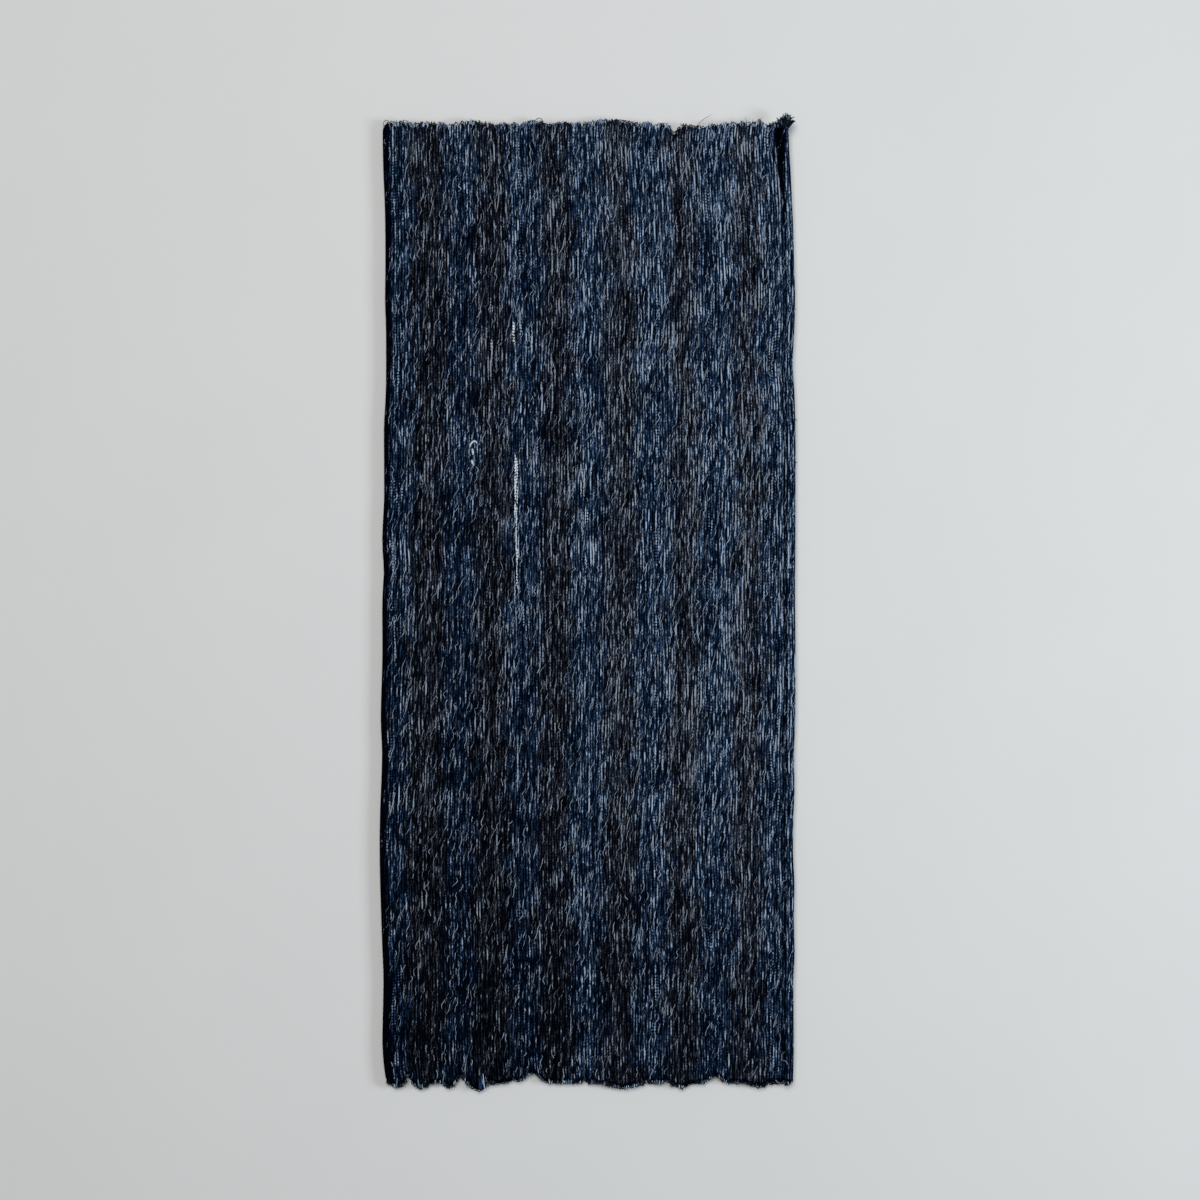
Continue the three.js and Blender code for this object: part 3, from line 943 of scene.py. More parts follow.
    def lift(self, stretch: Stretch, along: float, x: np.ndarray) -> np.ndarray:
        """Lift by swells and puffed folds, less the droop of the left fold."""
        near_right = self.fold_puff * ease(1 - (self.lower_right - x) / self.fold_puff_reach)
        near_left = self.fold_puff * ease(1 - (x - self.left) / self.fold_puff_reach)
        droop = self.fold_droop * ease(1 - (x - self.left) / self.shoulder)
        return (
            self.share(stretch, 0, along) * swell(x, self.row_y)
            + self.share(stretch, 1, along) * near_right
            + self.share(stretch, 2, along) * near_left
            - droop
        )

    def selvedge_reach(self, x: np.ndarray, rib: float, side: Side) -> np.ndarray:
        """How far the selvedge reaches past its straight line, in each row.

        Args:
            x: The place across the ribs.
            rib: The rib's number there.
            side: The wrong side takes the least reach nearby, so that it stays out of sight.

        Returns:
            The reach of the nearer selvedge.
        """
        offsets = (0.0,) if side is Side.RIGHT else (-self.lining_step / 2, 0.0, self.lining_step / 2)
        near = np.min([lobe_reach(NEAR_LOBES, x + o) for o in offsets], axis=0)
        far = np.min([lobe_reach(FAR_LOBES, x + o) for o in offsets], axis=0)
        reach = np.where(self.row_y < 0, near, far)
        if side is Side.RIGHT:
            number = math.floor(rib + 0.001)
            own = np.where(self.row_y < 0, self.loops.at(number * 2.49, 0.0), self.loops.at(number * 2.49, 5000.0))
            reach = reach + 0.55 * own
        return reach

    def row_points(self, stretch: Stretch, along: float, groove: float, side: Side) -> np.ndarray:
        """One station's points in all rows.

        Args:
            stretch: Which stretch of the cloth.
            along: Share of the way along it.
            groove: 0 on a rib's crest and 1 in a groove.
            side: Which face of the cloth.

        Returns:
            An array of x, y, z, in millimetres.
        """
        first, count = self.RIBS[stretch]
        rib = first + count * along
        x, z, nx, nz = self.middle_of(stretch, along)
        on_top = self.share(stretch, 2, along)
        half = self.lower_length / 2 + (self.folded_length - self.lower_length) / 2 * on_top
        inset = self.turn_inset if stretch is Stretch.TURN else 0.0
        from_edge = (1 - np.abs(self.row_share)) * half
        reach = self.selvedge_reach(x, rib, side) * on_top - inset
        scallop = -0.5 * groove * on_top if side is Side.RIGHT else 0.0
        y = np.sign(self.row_y) * (half - from_edge + (reach + scallop) * ease(1 - from_edge / self.lobe_depth))

        nose = np.clip(1 - from_edge / self.rim_nose, 0, 1)
        thickness = self.cloth / 2 * (0.35 + 0.65 * np.sqrt(1 - nose**2))
        depth = self.rib_depth * groove * (0.85 + 0.35 * self.depths.at(rib * 2.49, self.row_y))
        depth = depth * np.minimum(1.0, 0.25 + from_edge / 3)
        offset = side.value * (thickness - depth)
        past = half + reach - self.lower_length / 2
        rim = np.clip(1 - from_edge / self.rim_length, 0, 1) ** 2
        hang = self.rim_drop * np.clip((past - 3) / 6, 0, 1) * on_top * rim
        z = z + nz * offset + self.lift(stretch, along, x) - hang
        x = x + nx * offset
        if stretch is Stretch.TOP:
            inside = np.clip(min(along, 1 - along) * 14, 0, 1)
            x = x + inside * (0.55 * self.wobble.at(x, y) + 0.22 * self.fine_wobble.at(x, y))
            z = z + inside * 0.25 * self.ripple.at(x, y)
        return np.stack([x, y, z], axis=1)

    def stations(self, side: Side) -> list[tuple[Stretch, float, float]]:
        """Where one face of the cloth has its points.

        Args:
            side: Which face.

        Returns:
            (stretch, share along it, groove) rows in order.
        """
        rows: list[tuple[Stretch, float, float]] = []

        def even(stretch: Stretch, steps: int) -> None:
            """Adds even steps without ribs."""
            rows.extend((stretch, step / steps, 0.0) for step in range(steps))

        def closer(stretch: Stretch, steps: int) -> None:
            """Adds even steps, then six closer ones over the last 12 mm."""
            share = 1 - 12 / (self.folded_width - 2 * self.bend_reach)
            rows.extend((stretch, share * step / steps, 0.0) for step in range(steps))
            rows.extend((stretch, share + (1 - share) * step / 6, 0.0) for step in range(6))

        def ribbed(stretch: Stretch, shape: Sequence[tuple[float, float]]) -> None:
            """Adds ribs of one profile: (share of a rib, groove)."""
            count = self.RIBS[stretch][1]
            rows.extend((stretch, (rib + at) / count, groove) for rib in range(count) for at, groove in shape)

        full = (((0.0, 1.0), (0.28, 0.12), (0.5, 0.0), (0.72, 0.12)))
        plain = ((0.0, 0.8), (0.5, 0.0))
        if side is Side.RIGHT:
            even(Stretch.LOWEST, 10)
            even(Stretch.RIGHT_FOLD, 2)
            closer(Stretch.MIDDLE, 10)
            ribbed(Stretch.LEFT_FOLD, full)
            ribbed(Stretch.TOP, full)
            ribbed(Stretch.ROLL, full)
        else:
            ribbed(Stretch.LOWEST, plain)
            ribbed(Stretch.RIGHT_FOLD, full)
            closer(Stretch.MIDDLE, 10)
            even(Stretch.LEFT_FOLD, 2)
            closer(Stretch.TOP, 50)
            even(Stretch.ROLL, 2)
        rows.append((Stretch.TURN, 0.0, 0.0))
        rows.append((Stretch.TURN, 1.0, 0.0))
        return rows

    def build(self) -> bpy.types.Object:
        """Builds the cloth as one closed mesh and dresses it."""
        points: list[np.ndarray] = []
        places: list[np.ndarray] = []
        edges: list[np.ndarray] = []
        orders: list[list[float]] = []
        for side in (Side.RIGHT, Side.WRONG):
            stations = self.stations(side)
            orders.append([stretch.value + along for stretch, along, _ in stations])
            for stretch, along, groove in stations:
                row = self.row_points(stretch, along, groove, side)
                first, count = self.RIBS[stretch]
                across = self.finish.rib_start + (first + count * along) * self.finish.rib_pitch
                layer = 0.0 if side is Side.RIGHT else 40.0
                points.append(row)
                edges.append((1 - np.abs(self.row_share)) * self.folded_length / 2)
                places.append(np.stack([np.full(len(row), across), row[:, 1], np.full(len(row), layer)], axis=1))
        rows = len(self.row_y)
        right_count = len(orders[0])
        wrong_count = len(orders[1])
        faces = self.faces(rows, right_count, wrong_count, orders)
        mesh = bpy.data.meshes.new("rug_cloth")
        mesh.from_pydata(np.concatenate(points) * MM, [], faces)
        mesh.polygons.foreach_set("use_smooth", [True] * len(mesh.polygons))
        attribute = mesh.attributes.new(self.finish.place_attribute, "FLOAT_VECTOR", "POINT")
        attribute.data.foreach_set("vector", (np.concatenate(places) * MM).astype(np.float32).ravel())
        attribute = mesh.attributes.new(self.finish.edge_attribute, "FLOAT", "POINT")
        attribute.data.foreach_set("value", (np.concatenate(edges) * MM).astype(np.float32))
        mesh.update()
        cloth = bpy.data.objects.new("rug_cloth", mesh)
        bpy.context.scene.collection.objects.link(cloth)
        mesh.materials.append(self.finish.material())
        return cloth

    def faces(self, rows: int, right: int, wrong: int, orders: list[list[float]]) -> list[tuple[int, ...]]:
        """The faces of both sides, the two free ends and the two selvedges.

        Args:
            rows: How many rows there are.
            right: Stations on the right side.
            wrong: Stations on the wrong side.
            orders: Where each station is along the cloth, on both sides.

        Returns:
            Lists of point numbers.
        """

        def right_at(i: int, row: int) -> int:
            """Number of a point on the right side."""
            return i * rows + row

        def wrong_at(i: int, row: int) -> int:
            """Number of a point on the wrong side."""
            return (right + i) * rows + row

        faces: list[tuple[int, ...]] = []
        for row in range(rows - 1):
            for i in range(right - 1):
                faces.append((right_at(i, row), right_at(i + 1, row), right_at(i + 1, row + 1), right_at(i, row + 1)))
            for i in range(wrong - 1):
                faces.append((wrong_at(i, row), wrong_at(i, row + 1), wrong_at(i + 1, row + 1), wrong_at(i + 1, row)))
            faces.append((right_at(0, row), right_at(0, row + 1), wrong_at(0, row + 1), wrong_at(0, row)))
            last, end = right - 1, wrong - 1
            faces.append((right_at(last, row), wrong_at(end, row), wrong_at(end, row + 1), right_at(last, row + 1)))
        for row in (0, rows - 1):
            r = 0
            w = 0
            while r < right - 1 or w < wrong - 1:
                wrong_done = w == wrong - 1
                go_right = r < right - 1 and (wrong_done or orders[0][r + 1] <= orders[1][w + 1])
                third = right_at(r + 1, row) if go_right else wrong_at(w + 1, row)
                flip = row > 0
                corners = (right_at(r, row), third, wrong_at(w, row)) if flip else (right_at(r, row), wrong_at(w, row), third)
                faces.append(corners)
                r, w = (r + 1, w) if go_right else (r, w + 1)
        return faces

    def top_height_at(self, x: np.ndarray | float, y: np.ndarray | float) -> np.ndarray:
        """Height of the top layer's upper face at places on it, over its ribs."""
        x, y = np.broadcast_arrays(np.atleast_1d(x).astype(float), np.atleast_1d(y).astype(float))
        left = -self.folded_width / 2 + smooth_table(LEFT_EDGE, 1, y)
        right = self.folded_width / 2 + smooth_table(RIGHT_EDGE, 1, y)
        foot, crest, curl = (smooth_table(HEM, i, y) for i in (1, 2, 3))
        rise = (self.cloth + self.air + curl) * ease((x - (right - foot)) / (foot - crest))
        puff = self.fold_puff * (
            ease(1 - (right - self.lower_fold_inset - x) / self.fold_puff_reach)
            + ease(1 - (x - left) / self.fold_puff_reach)
        )
        droop = self.fold_droop * ease(1 - (x - left) / smooth_table(SHOULDER, 1, y))
        return self.top_height + self.cloth / 2 + rise + puff - droop + swell(x, y)

    def selvedge_at(self, x: float, far: bool) -> float:
        """Where a selvedge of the top layer is at x."""
        reach = float(lobe_reach(FAR_LOBES if far else NEAR_LOBES, x))
        return (1 if far else -1) * (self.folded_length / 2 + reach)


@dataclass
class YarnBundle:
    """Loose yarns and threads of one finish, gathered in one mesh."""

    name: str
    finish: YarnFinish
    sides: int = 6

    def __post_init__(self) -> None:
        """Starts empty."""
        self.points: list[np.ndarray] = []
        self.places: list[np.ndarray] = []
        self.faces: list[tuple[int, ...]] = []
        self.count = 0
        self.yarns = 0

    def smooth(self, knots: Sequence[Sequence[float]], steps: int) -> np.ndarray:
        """A smooth curve through knots.

        Args:
            knots: (x, y, z) rows.
            steps: Points between two knots.

        Returns:
            The curve's points.
        """
        given = np.array(knots, float)
        padded = np.vstack([2 * given[0] - given[1], given, 2 * given[-1] - given[-2]])
        result = []
        for i in range(1, len(padded) - 2):
            before, start, end, after = padded[i - 1 : i + 3]
            for step in range(steps):
                t = step / steps
                result.append(
                    0.5 * (2 * start + (end - before) * t + (2 * before - 5 * start + 4 * end - after) * t**2
                           + (3 * start - before - 3 * end + after) * t**3)
                )
        result.append(given[-1])
        return np.array(result)

    def add(self, knots: Sequence[Sequence[float]], radius: float, taper: float = 0.5, steps: int = 4) -> None:
        """Adds one yarn.

        Args:
            knots: (x, y, z) rows in millimetres that it runs through.
            radius: Its radius at its thickest.
            taper: Share of the radius that is left at its ends.
            steps: Points between two knots.
        """
        line = self.smooth(knots, steps)
        ways = np.gradient(line, axis=0)
        ways /= np.maximum(np.linalg.norm(ways, axis=1, keepdims=True), 1e-9)
        lengths = np.concatenate([[0], np.cumsum(np.linalg.norm(np.diff(line, axis=0), axis=1))])
        side = np.cross(ways[0], (0.0, 0.0, 1.0) if abs(ways[0][2]) < 0.9 else (1.0, 0.0, 0.0))
        side /= np.linalg.norm(side)
        total = len(line)
        self.yarns += 1
        for i, (centre, way) in enumerate(zip(line, ways)):
            side = side - way * np.dot(side, way)
            side /= max(np.linalg.norm(side), 1e-9)
            up = np.cross(way, side)
            share = i / (total - 1)
            thick = radius * (taper + (1 - taper) * math.sin(math.pi * share) ** 0.6 if 0 < share < 1 else taper)
            for k in range(self.sides):
                angle = 2 * math.pi * k / self.sides
                self.points.append(centre + thick * (math.cos(angle) * side + math.sin(angle) * up))
                self.places.append(np.array([k / self.sides, lengths[i], 3.7 * self.yarns]))
        base = self.count
        for i in range(total - 1):
            for k in range(self.sides):
                a = base + i * self.sides + k
                b = base + i * self.sides + (k + 1) % self.sides
                self.faces.append((a, b, b + self.sides, a + self.sides))
        self.faces.append(tuple(base + k for k in reversed(range(self.sides))))
        self.faces.append(tuple(base + (total - 1) * self.sides + k for k in range(self.sides)))
        self.count += total * self.sides

    def build(self) -> bpy.types.Object:
        """Makes the bundle's object and dresses it."""
        mesh = bpy.data.meshes.new(self.name)
        mesh.from_pydata(np.array(self.points) * MM, [], self.faces)
        mesh.polygons.foreach_set("use_smooth", [True] * len(mesh.polygons))
        attribute = mesh.attributes.new(self.finish.place_attribute, "FLOAT_VECTOR", "POINT")
        attribute.data.foreach_set("vector", (np.array(self.places) * MM).astype(np.float32).ravel())
        mesh.update()
        bundle = bpy.data.objects.new(self.name, mesh)
        bpy.context.scene.collection.objects.link(bundle)
        mesh.materials.append(self.finish.material())
        return bundle


NAVY_YARN = YarnFinish("navy_yarn", (0.002, 0.004, 0.010), (0.030, 0.055, 0.105))
CHARCOAL_YARN = YarnFinish("charcoal_yarn", (0.0015, 0.0025, 0.0045), (0.018, 0.023, 0.032))
PALE_YARN = YarnFinish("pale_yarn", (0.07, 0.10, 0.15), (0.30, 0.36, 0.43))
PALE_SLUB = YarnFinish("pale_slub_yarn", (0.12, 0.17, 0.25), (0.52, 0.60, 0.71))
WHITE_WOOL = YarnFinish("white_wool", (0.58, 0.66, 0.75), (0.95, 0.98, 1.00))
FADED_WOOL = YarnFinish("faded_wool", (0.24, 0.31, 0.40), (0.70, 0.78, 0.87))
PALE_BLUE = YarnFinish("pale_blue_yarn", (0.31, 0.43, 0.57), (0.78, 0.89, 0.98))
FRAY_BLUE = YarnFinish("fray_blue_yarn", (0.020, 0.055, 0.140), (0.180, 0.290, 0.460))
BRIGHT_BLUE = YarnFinish("bright_blue_yarn", (0.004, 0.03, 0.11), (0.02, 0.11, 0.34))
BLUE_SLUB = YarnFinish("blue_slub_yarn", (0.016, 0.030, 0.062), (0.11, 0.15, 0.22))
GREY_SLUB = YarnFinish("grey_slub_yarn", (0.022, 0.026, 0.034), (0.115, 0.128, 0.152))
TEAL_YARN = YarnFinish("teal_yarn", (0.0008, 0.0025, 0.0045), (0.006, 0.018, 0.030))


@dataclass
class Selvedges:
    """The two selvedges: the weft's small turns and the wisps that stand out of them."""

    cloth: FoldedCloth
    turn_radius: float = 0.55
    near_tufts: int = 210
    far_tufts: int = 280

    BLUE_TUFTS = (FRAY_BLUE, FRAY_BLUE, FRAY_BLUE, PALE_BLUE, PALE_BLUE, PALE_BLUE, CHARCOAL_YARN)
    DARK_TUFTS = (CHARCOAL_YARN, CHARCOAL_YARN, CHARCOAL_YARN, CHARCOAL_YARN, FRAY_BLUE, PALE_BLUE)
    NEAR_TUFTS = (CHARCOAL_YARN, CHARCOAL_YARN, CHARCOAL_YARN, CHARCOAL_YARN, FRAY_BLUE, PALE_BLUE)

    def turns(self) -> bpy.types.Object:
        """The weft's turns: one small loop for each pair of ribs, at both selvedges."""
        chance = random.Random(41)
        bundle = YarnBundle("selvedge_turns", NAVY_YARN)
        for far in (False, True):
            out = 1 if far else -1
            x = -191.0
            while x < 191.0:
                pitch = chance.uniform(2.0, 3.6)
                a, b = x, x + pitch
                edge = self.cloth.selvedge_at((a + b) / 2, far)
                z = self.height(x, edge, out)
                reach = chance.uniform(0.2, 2.2) if far else chance.uniform(0.0, 1.6)
                lean = chance.uniform(-0.6, 0.6)
                bundle.add(
                    [
                        (a, edge - out * 2.6, z + 0.5),
                        (a + 0.1, edge - out * 0.2, z + chance.uniform(-0.2, 0.5)),
                        ((a + b) / 2 + lean, edge + out * reach, z + chance.uniform(-0.7, 0.3)),
                        (b - 0.1, edge - out * 0.2, z + chance.uniform(-0.8, 0.2)),
                        (b, edge - out * 2.6, z - 0.2),
                    ],
                    self.turn_radius * chance.uniform(0.6, 1.15),
                    taper=0.7,
                    steps=3,
                )
                x += pitch * chance.uniform(0.75, 1.1)
        return bundle.build()

    def height(self, x: float, edge: float, out: int) -> float:
        """Height of the rim's middle at a selvedge."""
        return float(self.cloth.top_height_at(x, edge - out * 6)[0]) - 1.6 - 0.7

    def wisps(self) -> list[bpy.types.Object]:
        """Frayed fibres in small tufts along both selvedges, one piece for each yarn."""
        chance = random.Random(43)
        names = {
            CHARCOAL_YARN: "selvedge_wisps_dark", FRAY_BLUE: "selvedge_wisps_blue",
            PALE_BLUE: "selvedge_wisps_pale",
        }
        bundles = {yarn: YarnBundle(name, yarn, sides=4) for yarn, name in names.items()}
        finish = self.cloth.finish
        for far, tufts in ((False, self.near_tufts), (True, self.far_tufts)):
            for _ in range(tufts):
                x = chance.uniform(-192, 192)
                stripe = math.cos(2 * math.pi * (x - finish.stripe_centre) / finish.stripe_period)
                far_tufts = self.BLUE_TUFTS if stripe > chance.uniform(-0.5, 0.5) else self.DARK_TUFTS
                yarn = chance.choice(far_tufts if far else self.NEAR_TUFTS)
                count = chance.randint(1, 3) if yarn is PALE_BLUE else chance.randint(2, 5)
                for _ in range(count):
                    self.wisp(bundles[yarn], x + chance.gauss(0, 0.9), far, chance)
        return [bundle.build() for bundle in bundles.values()]

    def wisp(self, bundle: YarnBundle, x: float, far: bool, chance: random.Random) -> None:
        """Adds one frayed fibre, from on top of the rim to just past it.

        Args:
            bundle: Where it goes.
            x: Its place along the selvedge.
            far: Whether the selvedge is the far one.
            chance: Draws its unevenness.
        """
        out = 1 if far else -1
        edge = self.cloth.selvedge_at(x, far)
        z = self.height(x, edge, out)
        length = chance.uniform(0.4, 3.4) * (1.0 if far else 0.75)
        sway = chance.gauss(0, 0.9)
        curl = chance.gauss(0, 0.8)
        bundle.add(
            [
                (x, edge - out * chance.uniform(1.6, 4.6), z + 1.3),
                (x + 0.3 * sway, edge - out * chance.uniform(0.0, 1.0), z + chance.uniform(1.0, 1.7)),
                (x + sway, edge + out * 0.5 * length, z + chance.uniform(-0.8, 0.9)),
                (x + sway + curl, edge + out * length, z + chance.uniform(-1.6, 0.4)),
            ],
            chance.uniform(0.18, 0.42),
            taper=0.4,
            steps=3,
        )


@dataclass(frozen=True)
class Streak:
    """A light yarn that surfaces along one rib: where, how wide, and how many strands."""

    yarn: YarnFinish
    x: float
    far_y: float
    near_y: float
    radius: float = 0.36
    strands: int = 2
    wander: float = 0.6


STREAKS = (
    Streak(WHITE_WOOL, -68.4, 142.0, 134.0, 0.5, 2, 0.3),
    Streak(WHITE_WOOL, -68.6, 137.0, 110.0, 0.56, 3, 0.7),
    Streak(WHITE_WOOL, -68.5, 114.0, 84.0, 0.5, 3, 0.6),
    Streak(WHITE_WOOL, -68.0, 86.0, 52.0, 0.48, 2, 0.8),
    Streak(WHITE_WOOL, -67.4, 54.0, 19.0, 0.42, 2, 0.8),
    Streak(FADED_WOOL, -68.9, 21.0, -2.0, 0.4, 1, 0.5),
    Streak(FADED_WOOL, -61.5, 0.0, -24.0, 0.34, 1, 0.6),
    Streak(FADED_WOOL, -56.5, -2.0, -22.0, 0.34, 1, 0.6),
    Streak(FADED_WOOL, -5.0, 131.0, 103.0, 0.44, 3, 1.2),
    Streak(WHITE_WOOL, -1.8, 92.0, 77.0, 0.42, 2, 1.4),
    Streak(FADED_WOOL, -5.0, 78.0, 61.0, 0.4, 1, 0.8),
    Streak(FADED_WOOL, -2.0, 46.0, 31.0, 0.42, 2, 1.2),
    Streak(WHITE_WOOL, -70.4, 268.8, 250.0, 0.55, 2, 0.3),
    Streak(FADED_WOOL, -91.4, 251.5, 243.0, 0.5, 2, 0.3),
    Streak(PALE_YARN, -92.2, 291.0, 277.0, 0.45, 1, 0.5),
    Streak(PALE_YARN, -69.5, 330.0, 294.0, 0.3, 1, 0.8),
    Streak(PALE_YARN, -185.2, 60.0, 22.0, 0.42, 2, 0.8),
    Streak(PALE_YARN, -183.4, -11.0, -54.0, 0.42, 2, 0.9),
    Streak(PALE_YARN, -4.6, 89.0, 70.0, 0.5, 2, 1.2),
    Streak(PALE_YARN, -48.2, 177.0, 141.0, 0.36, 1, 0.7),
    Streak(PALE_YARN, 47.0, 12.0, -32.0, 0.3, 1, 0.6),
    Streak(PALE_YARN, 189.6, 60.0, 25.0, 0.3, 1, 0.4),
    Streak(PALE_YARN, 190.2, -96.0, -140.0, 0.3, 1, 0.4),
)


@dataclass(frozen=True)
class Thread:
    """A loose thread, given one by one: its yarn, its radius, and (x, y, height over the cloth)."""

    yarn: YarnFinish
    radius: float
    knots: tuple[tuple[float, float, float], ...]


THREADS = (
    # Curled thread with an arched end, left of the middle
    Thread(PALE_BLUE, 0.95, ((-105.2, 151.8, 0.3), (-106.6, 153.9, 0.9), (-109.0, 153.8, 1.1),
                             (-111.0, 151.6, 0.9), (-112.2, 148.4, 0.3))),
    Thread(PALE_BLUE, 1.15, ((-109.8, 147.2, 0.2), (-109.4, 144.6, 0.8), (-109.0, 141.2, 0.2))),
    Thread(PALE_BLUE, 1.2, ((-110.4, 136.4, 0.2), (-109.8, 134.0, 0.9), (-108.2, 131.0, 0.3))),
    # Bowed fibre over the short white streak, left of the middle
    Thread(PALE_YARN, 0.5, ((-70.6, 290.0, 0.1), (-70.0, 285.0, 0.6), (-68.6, 279.0, 0.5),
                            (-68.0, 272.5, 0.1))),
    # Small arches near the top of the middle stripe
    Thread(PALE_YARN, 0.4, ((-10.3, 157.0, 0.1), (-8.4, 163.0, 0.5), (-5.0, 168.5, 0.6),
                            (-2.6, 173.0, 0.6), (-4.2, 175.8, 0.5))),
    # Bright blue frayed end, with a white thread beside it, at the near selvedge
    Thread(BRIGHT_BLUE, 0.6, ((-101.6, -449.0, 0.4), (-101.0, -455.0, 0.2), (-101.8, -460.5, -0.8),
                              (-100.6, -464.5, -2.2))),
    Thread(BRIGHT_BLUE, 0.5, ((-102.8, -452.0, 0.3), (-102.9, -457.5, 0.1), (-103.6, -462.5, -1.4))),
    Thread(WHITE_WOOL, 0.35, ((-99.6, -447.0, 0.3), (-99.0, -453.0, 0.7), (-98.4, -459.5, 0.1),
                              (-97.4, -463.5, -1.2))),
    # Arched loop and level thread at the far selvedge
    Thread(CHARCOAL_YARN, 0.32, ((-50.8, 454.5, 0.2), (-49.8, 459.4, 0.3), (-46.9, 461.6, 0.2),
                                 (-44.0, 460.8, 0.0), (-42.3, 456.5, -0.2))),
    Thread(CHARCOAL_YARN, 0.3, ((19.0, 457.5, 0.3), (25.0, 459.6, 0.1), (32.5, 459.9, -0.1),
                                (41.5, 457.8, 0.0), (44.0, 455.0, -0.2))),
    # Hair that leans out to the right
    Thread(CHARCOAL_YARN, 0.22, ((102.5, 450.0, 0.2), (105.0, 455.5, 0.3), (110.5, 460.8, 0.1),
                                 (118.0, 465.4, -0.6))),
    Thread(PALE_YARN, 0.26, ((149.5, 452.5, 0.2), (150.8, 458.0, 0.2), (149.6, 462.6, -0.3))),
    Thread(PALE_YARN, 0.24, ((155.5, 452.0, 0.2), (157.6, 457.4, 0.3), (156.8, 461.0, -0.2))),
    Thread(PALE_YARN, 0.24, ((162.0, 453.5, 0.2), (163.2, 458.6, 0.1), (165.4, 461.8, -0.4))),
    # Grey loops at the far left corner
    Thread(PALE_YARN, 0.4, ((-194.0, 452.5, -0.2), (-194.4, 457.4, 0.1), (-191.6, 459.6, 0.2),
                            (-189.0, 457.8, 0.1), (-188.4, 453.0, -0.2))),
    Thread(PALE_YARN, 0.34, ((-177.5, 453.5, 0.1), (-177.2, 458.0, 0.2), (-173.5, 459.6, 0.2),
                             (-169.5, 457.2, 0.2), (-168.6, 453.5, 0.0))),
    Thread(PALE_YARN, 0.4, ((-185.0, 453.0, 0.2), (-182.6, 456.6, 0.4), (-180.5, 455.0, 0.2))),
    # Pale frays at the near left lobes and at the near right corner
    Thread(PALE_YARN, 0.5, ((-181.0, -451.0, 0.3), (-181.6, -456.0, 0.3), (-182.6, -460.2, -0.8))),
    Thread(PALE_YARN, 0.5, ((-161.5, -452.0, 0.2), (-160.9, -457.0, 0.4), (-159.6, -460.4, -0.9))),
    Thread(PALE_YARN, 0.42, ((-136.0, -445.0, 0.2), (-137.4, -452.0, 0.5), (-138.4, -456.6, 0.0))),
    Thread(PALE_YARN, 0.5, ((178.2, -452.6, 0.3), (180.6, -455.4, 0.4), (183.8, -456.8, -0.6))),
    Thread(PALE_YARN, 0.45, ((184.0, -434.6, 0.4), (187.6, -434.2, 0.8), (190.4, -438.0, 0.4))),
    Thread(PALE_YARN, 0.38, ((161.4, -439.6, 0.2), (158.2, -446.0, 0.6), (155.4, -450.6, 0.1))),
    Thread(CHARCOAL_YARN, 0.3, ((193.0, 279.6, -0.6), (195.8, 280.2, -1.6), (198.4, 278.8, -2.6))),
    Thread(CHARCOAL_YARN, 0.3, ((194.0, 174.0, -0.6), (197.0, 175.2, -1.8), (199.0, 173.4, -3.0))),
    Thread(CHARCOAL_YARN, 0.3, ((194.0, 132.0, -0.6), (197.0, 133.4, -1.6), (199.4, 134.4, -2.6))),
)


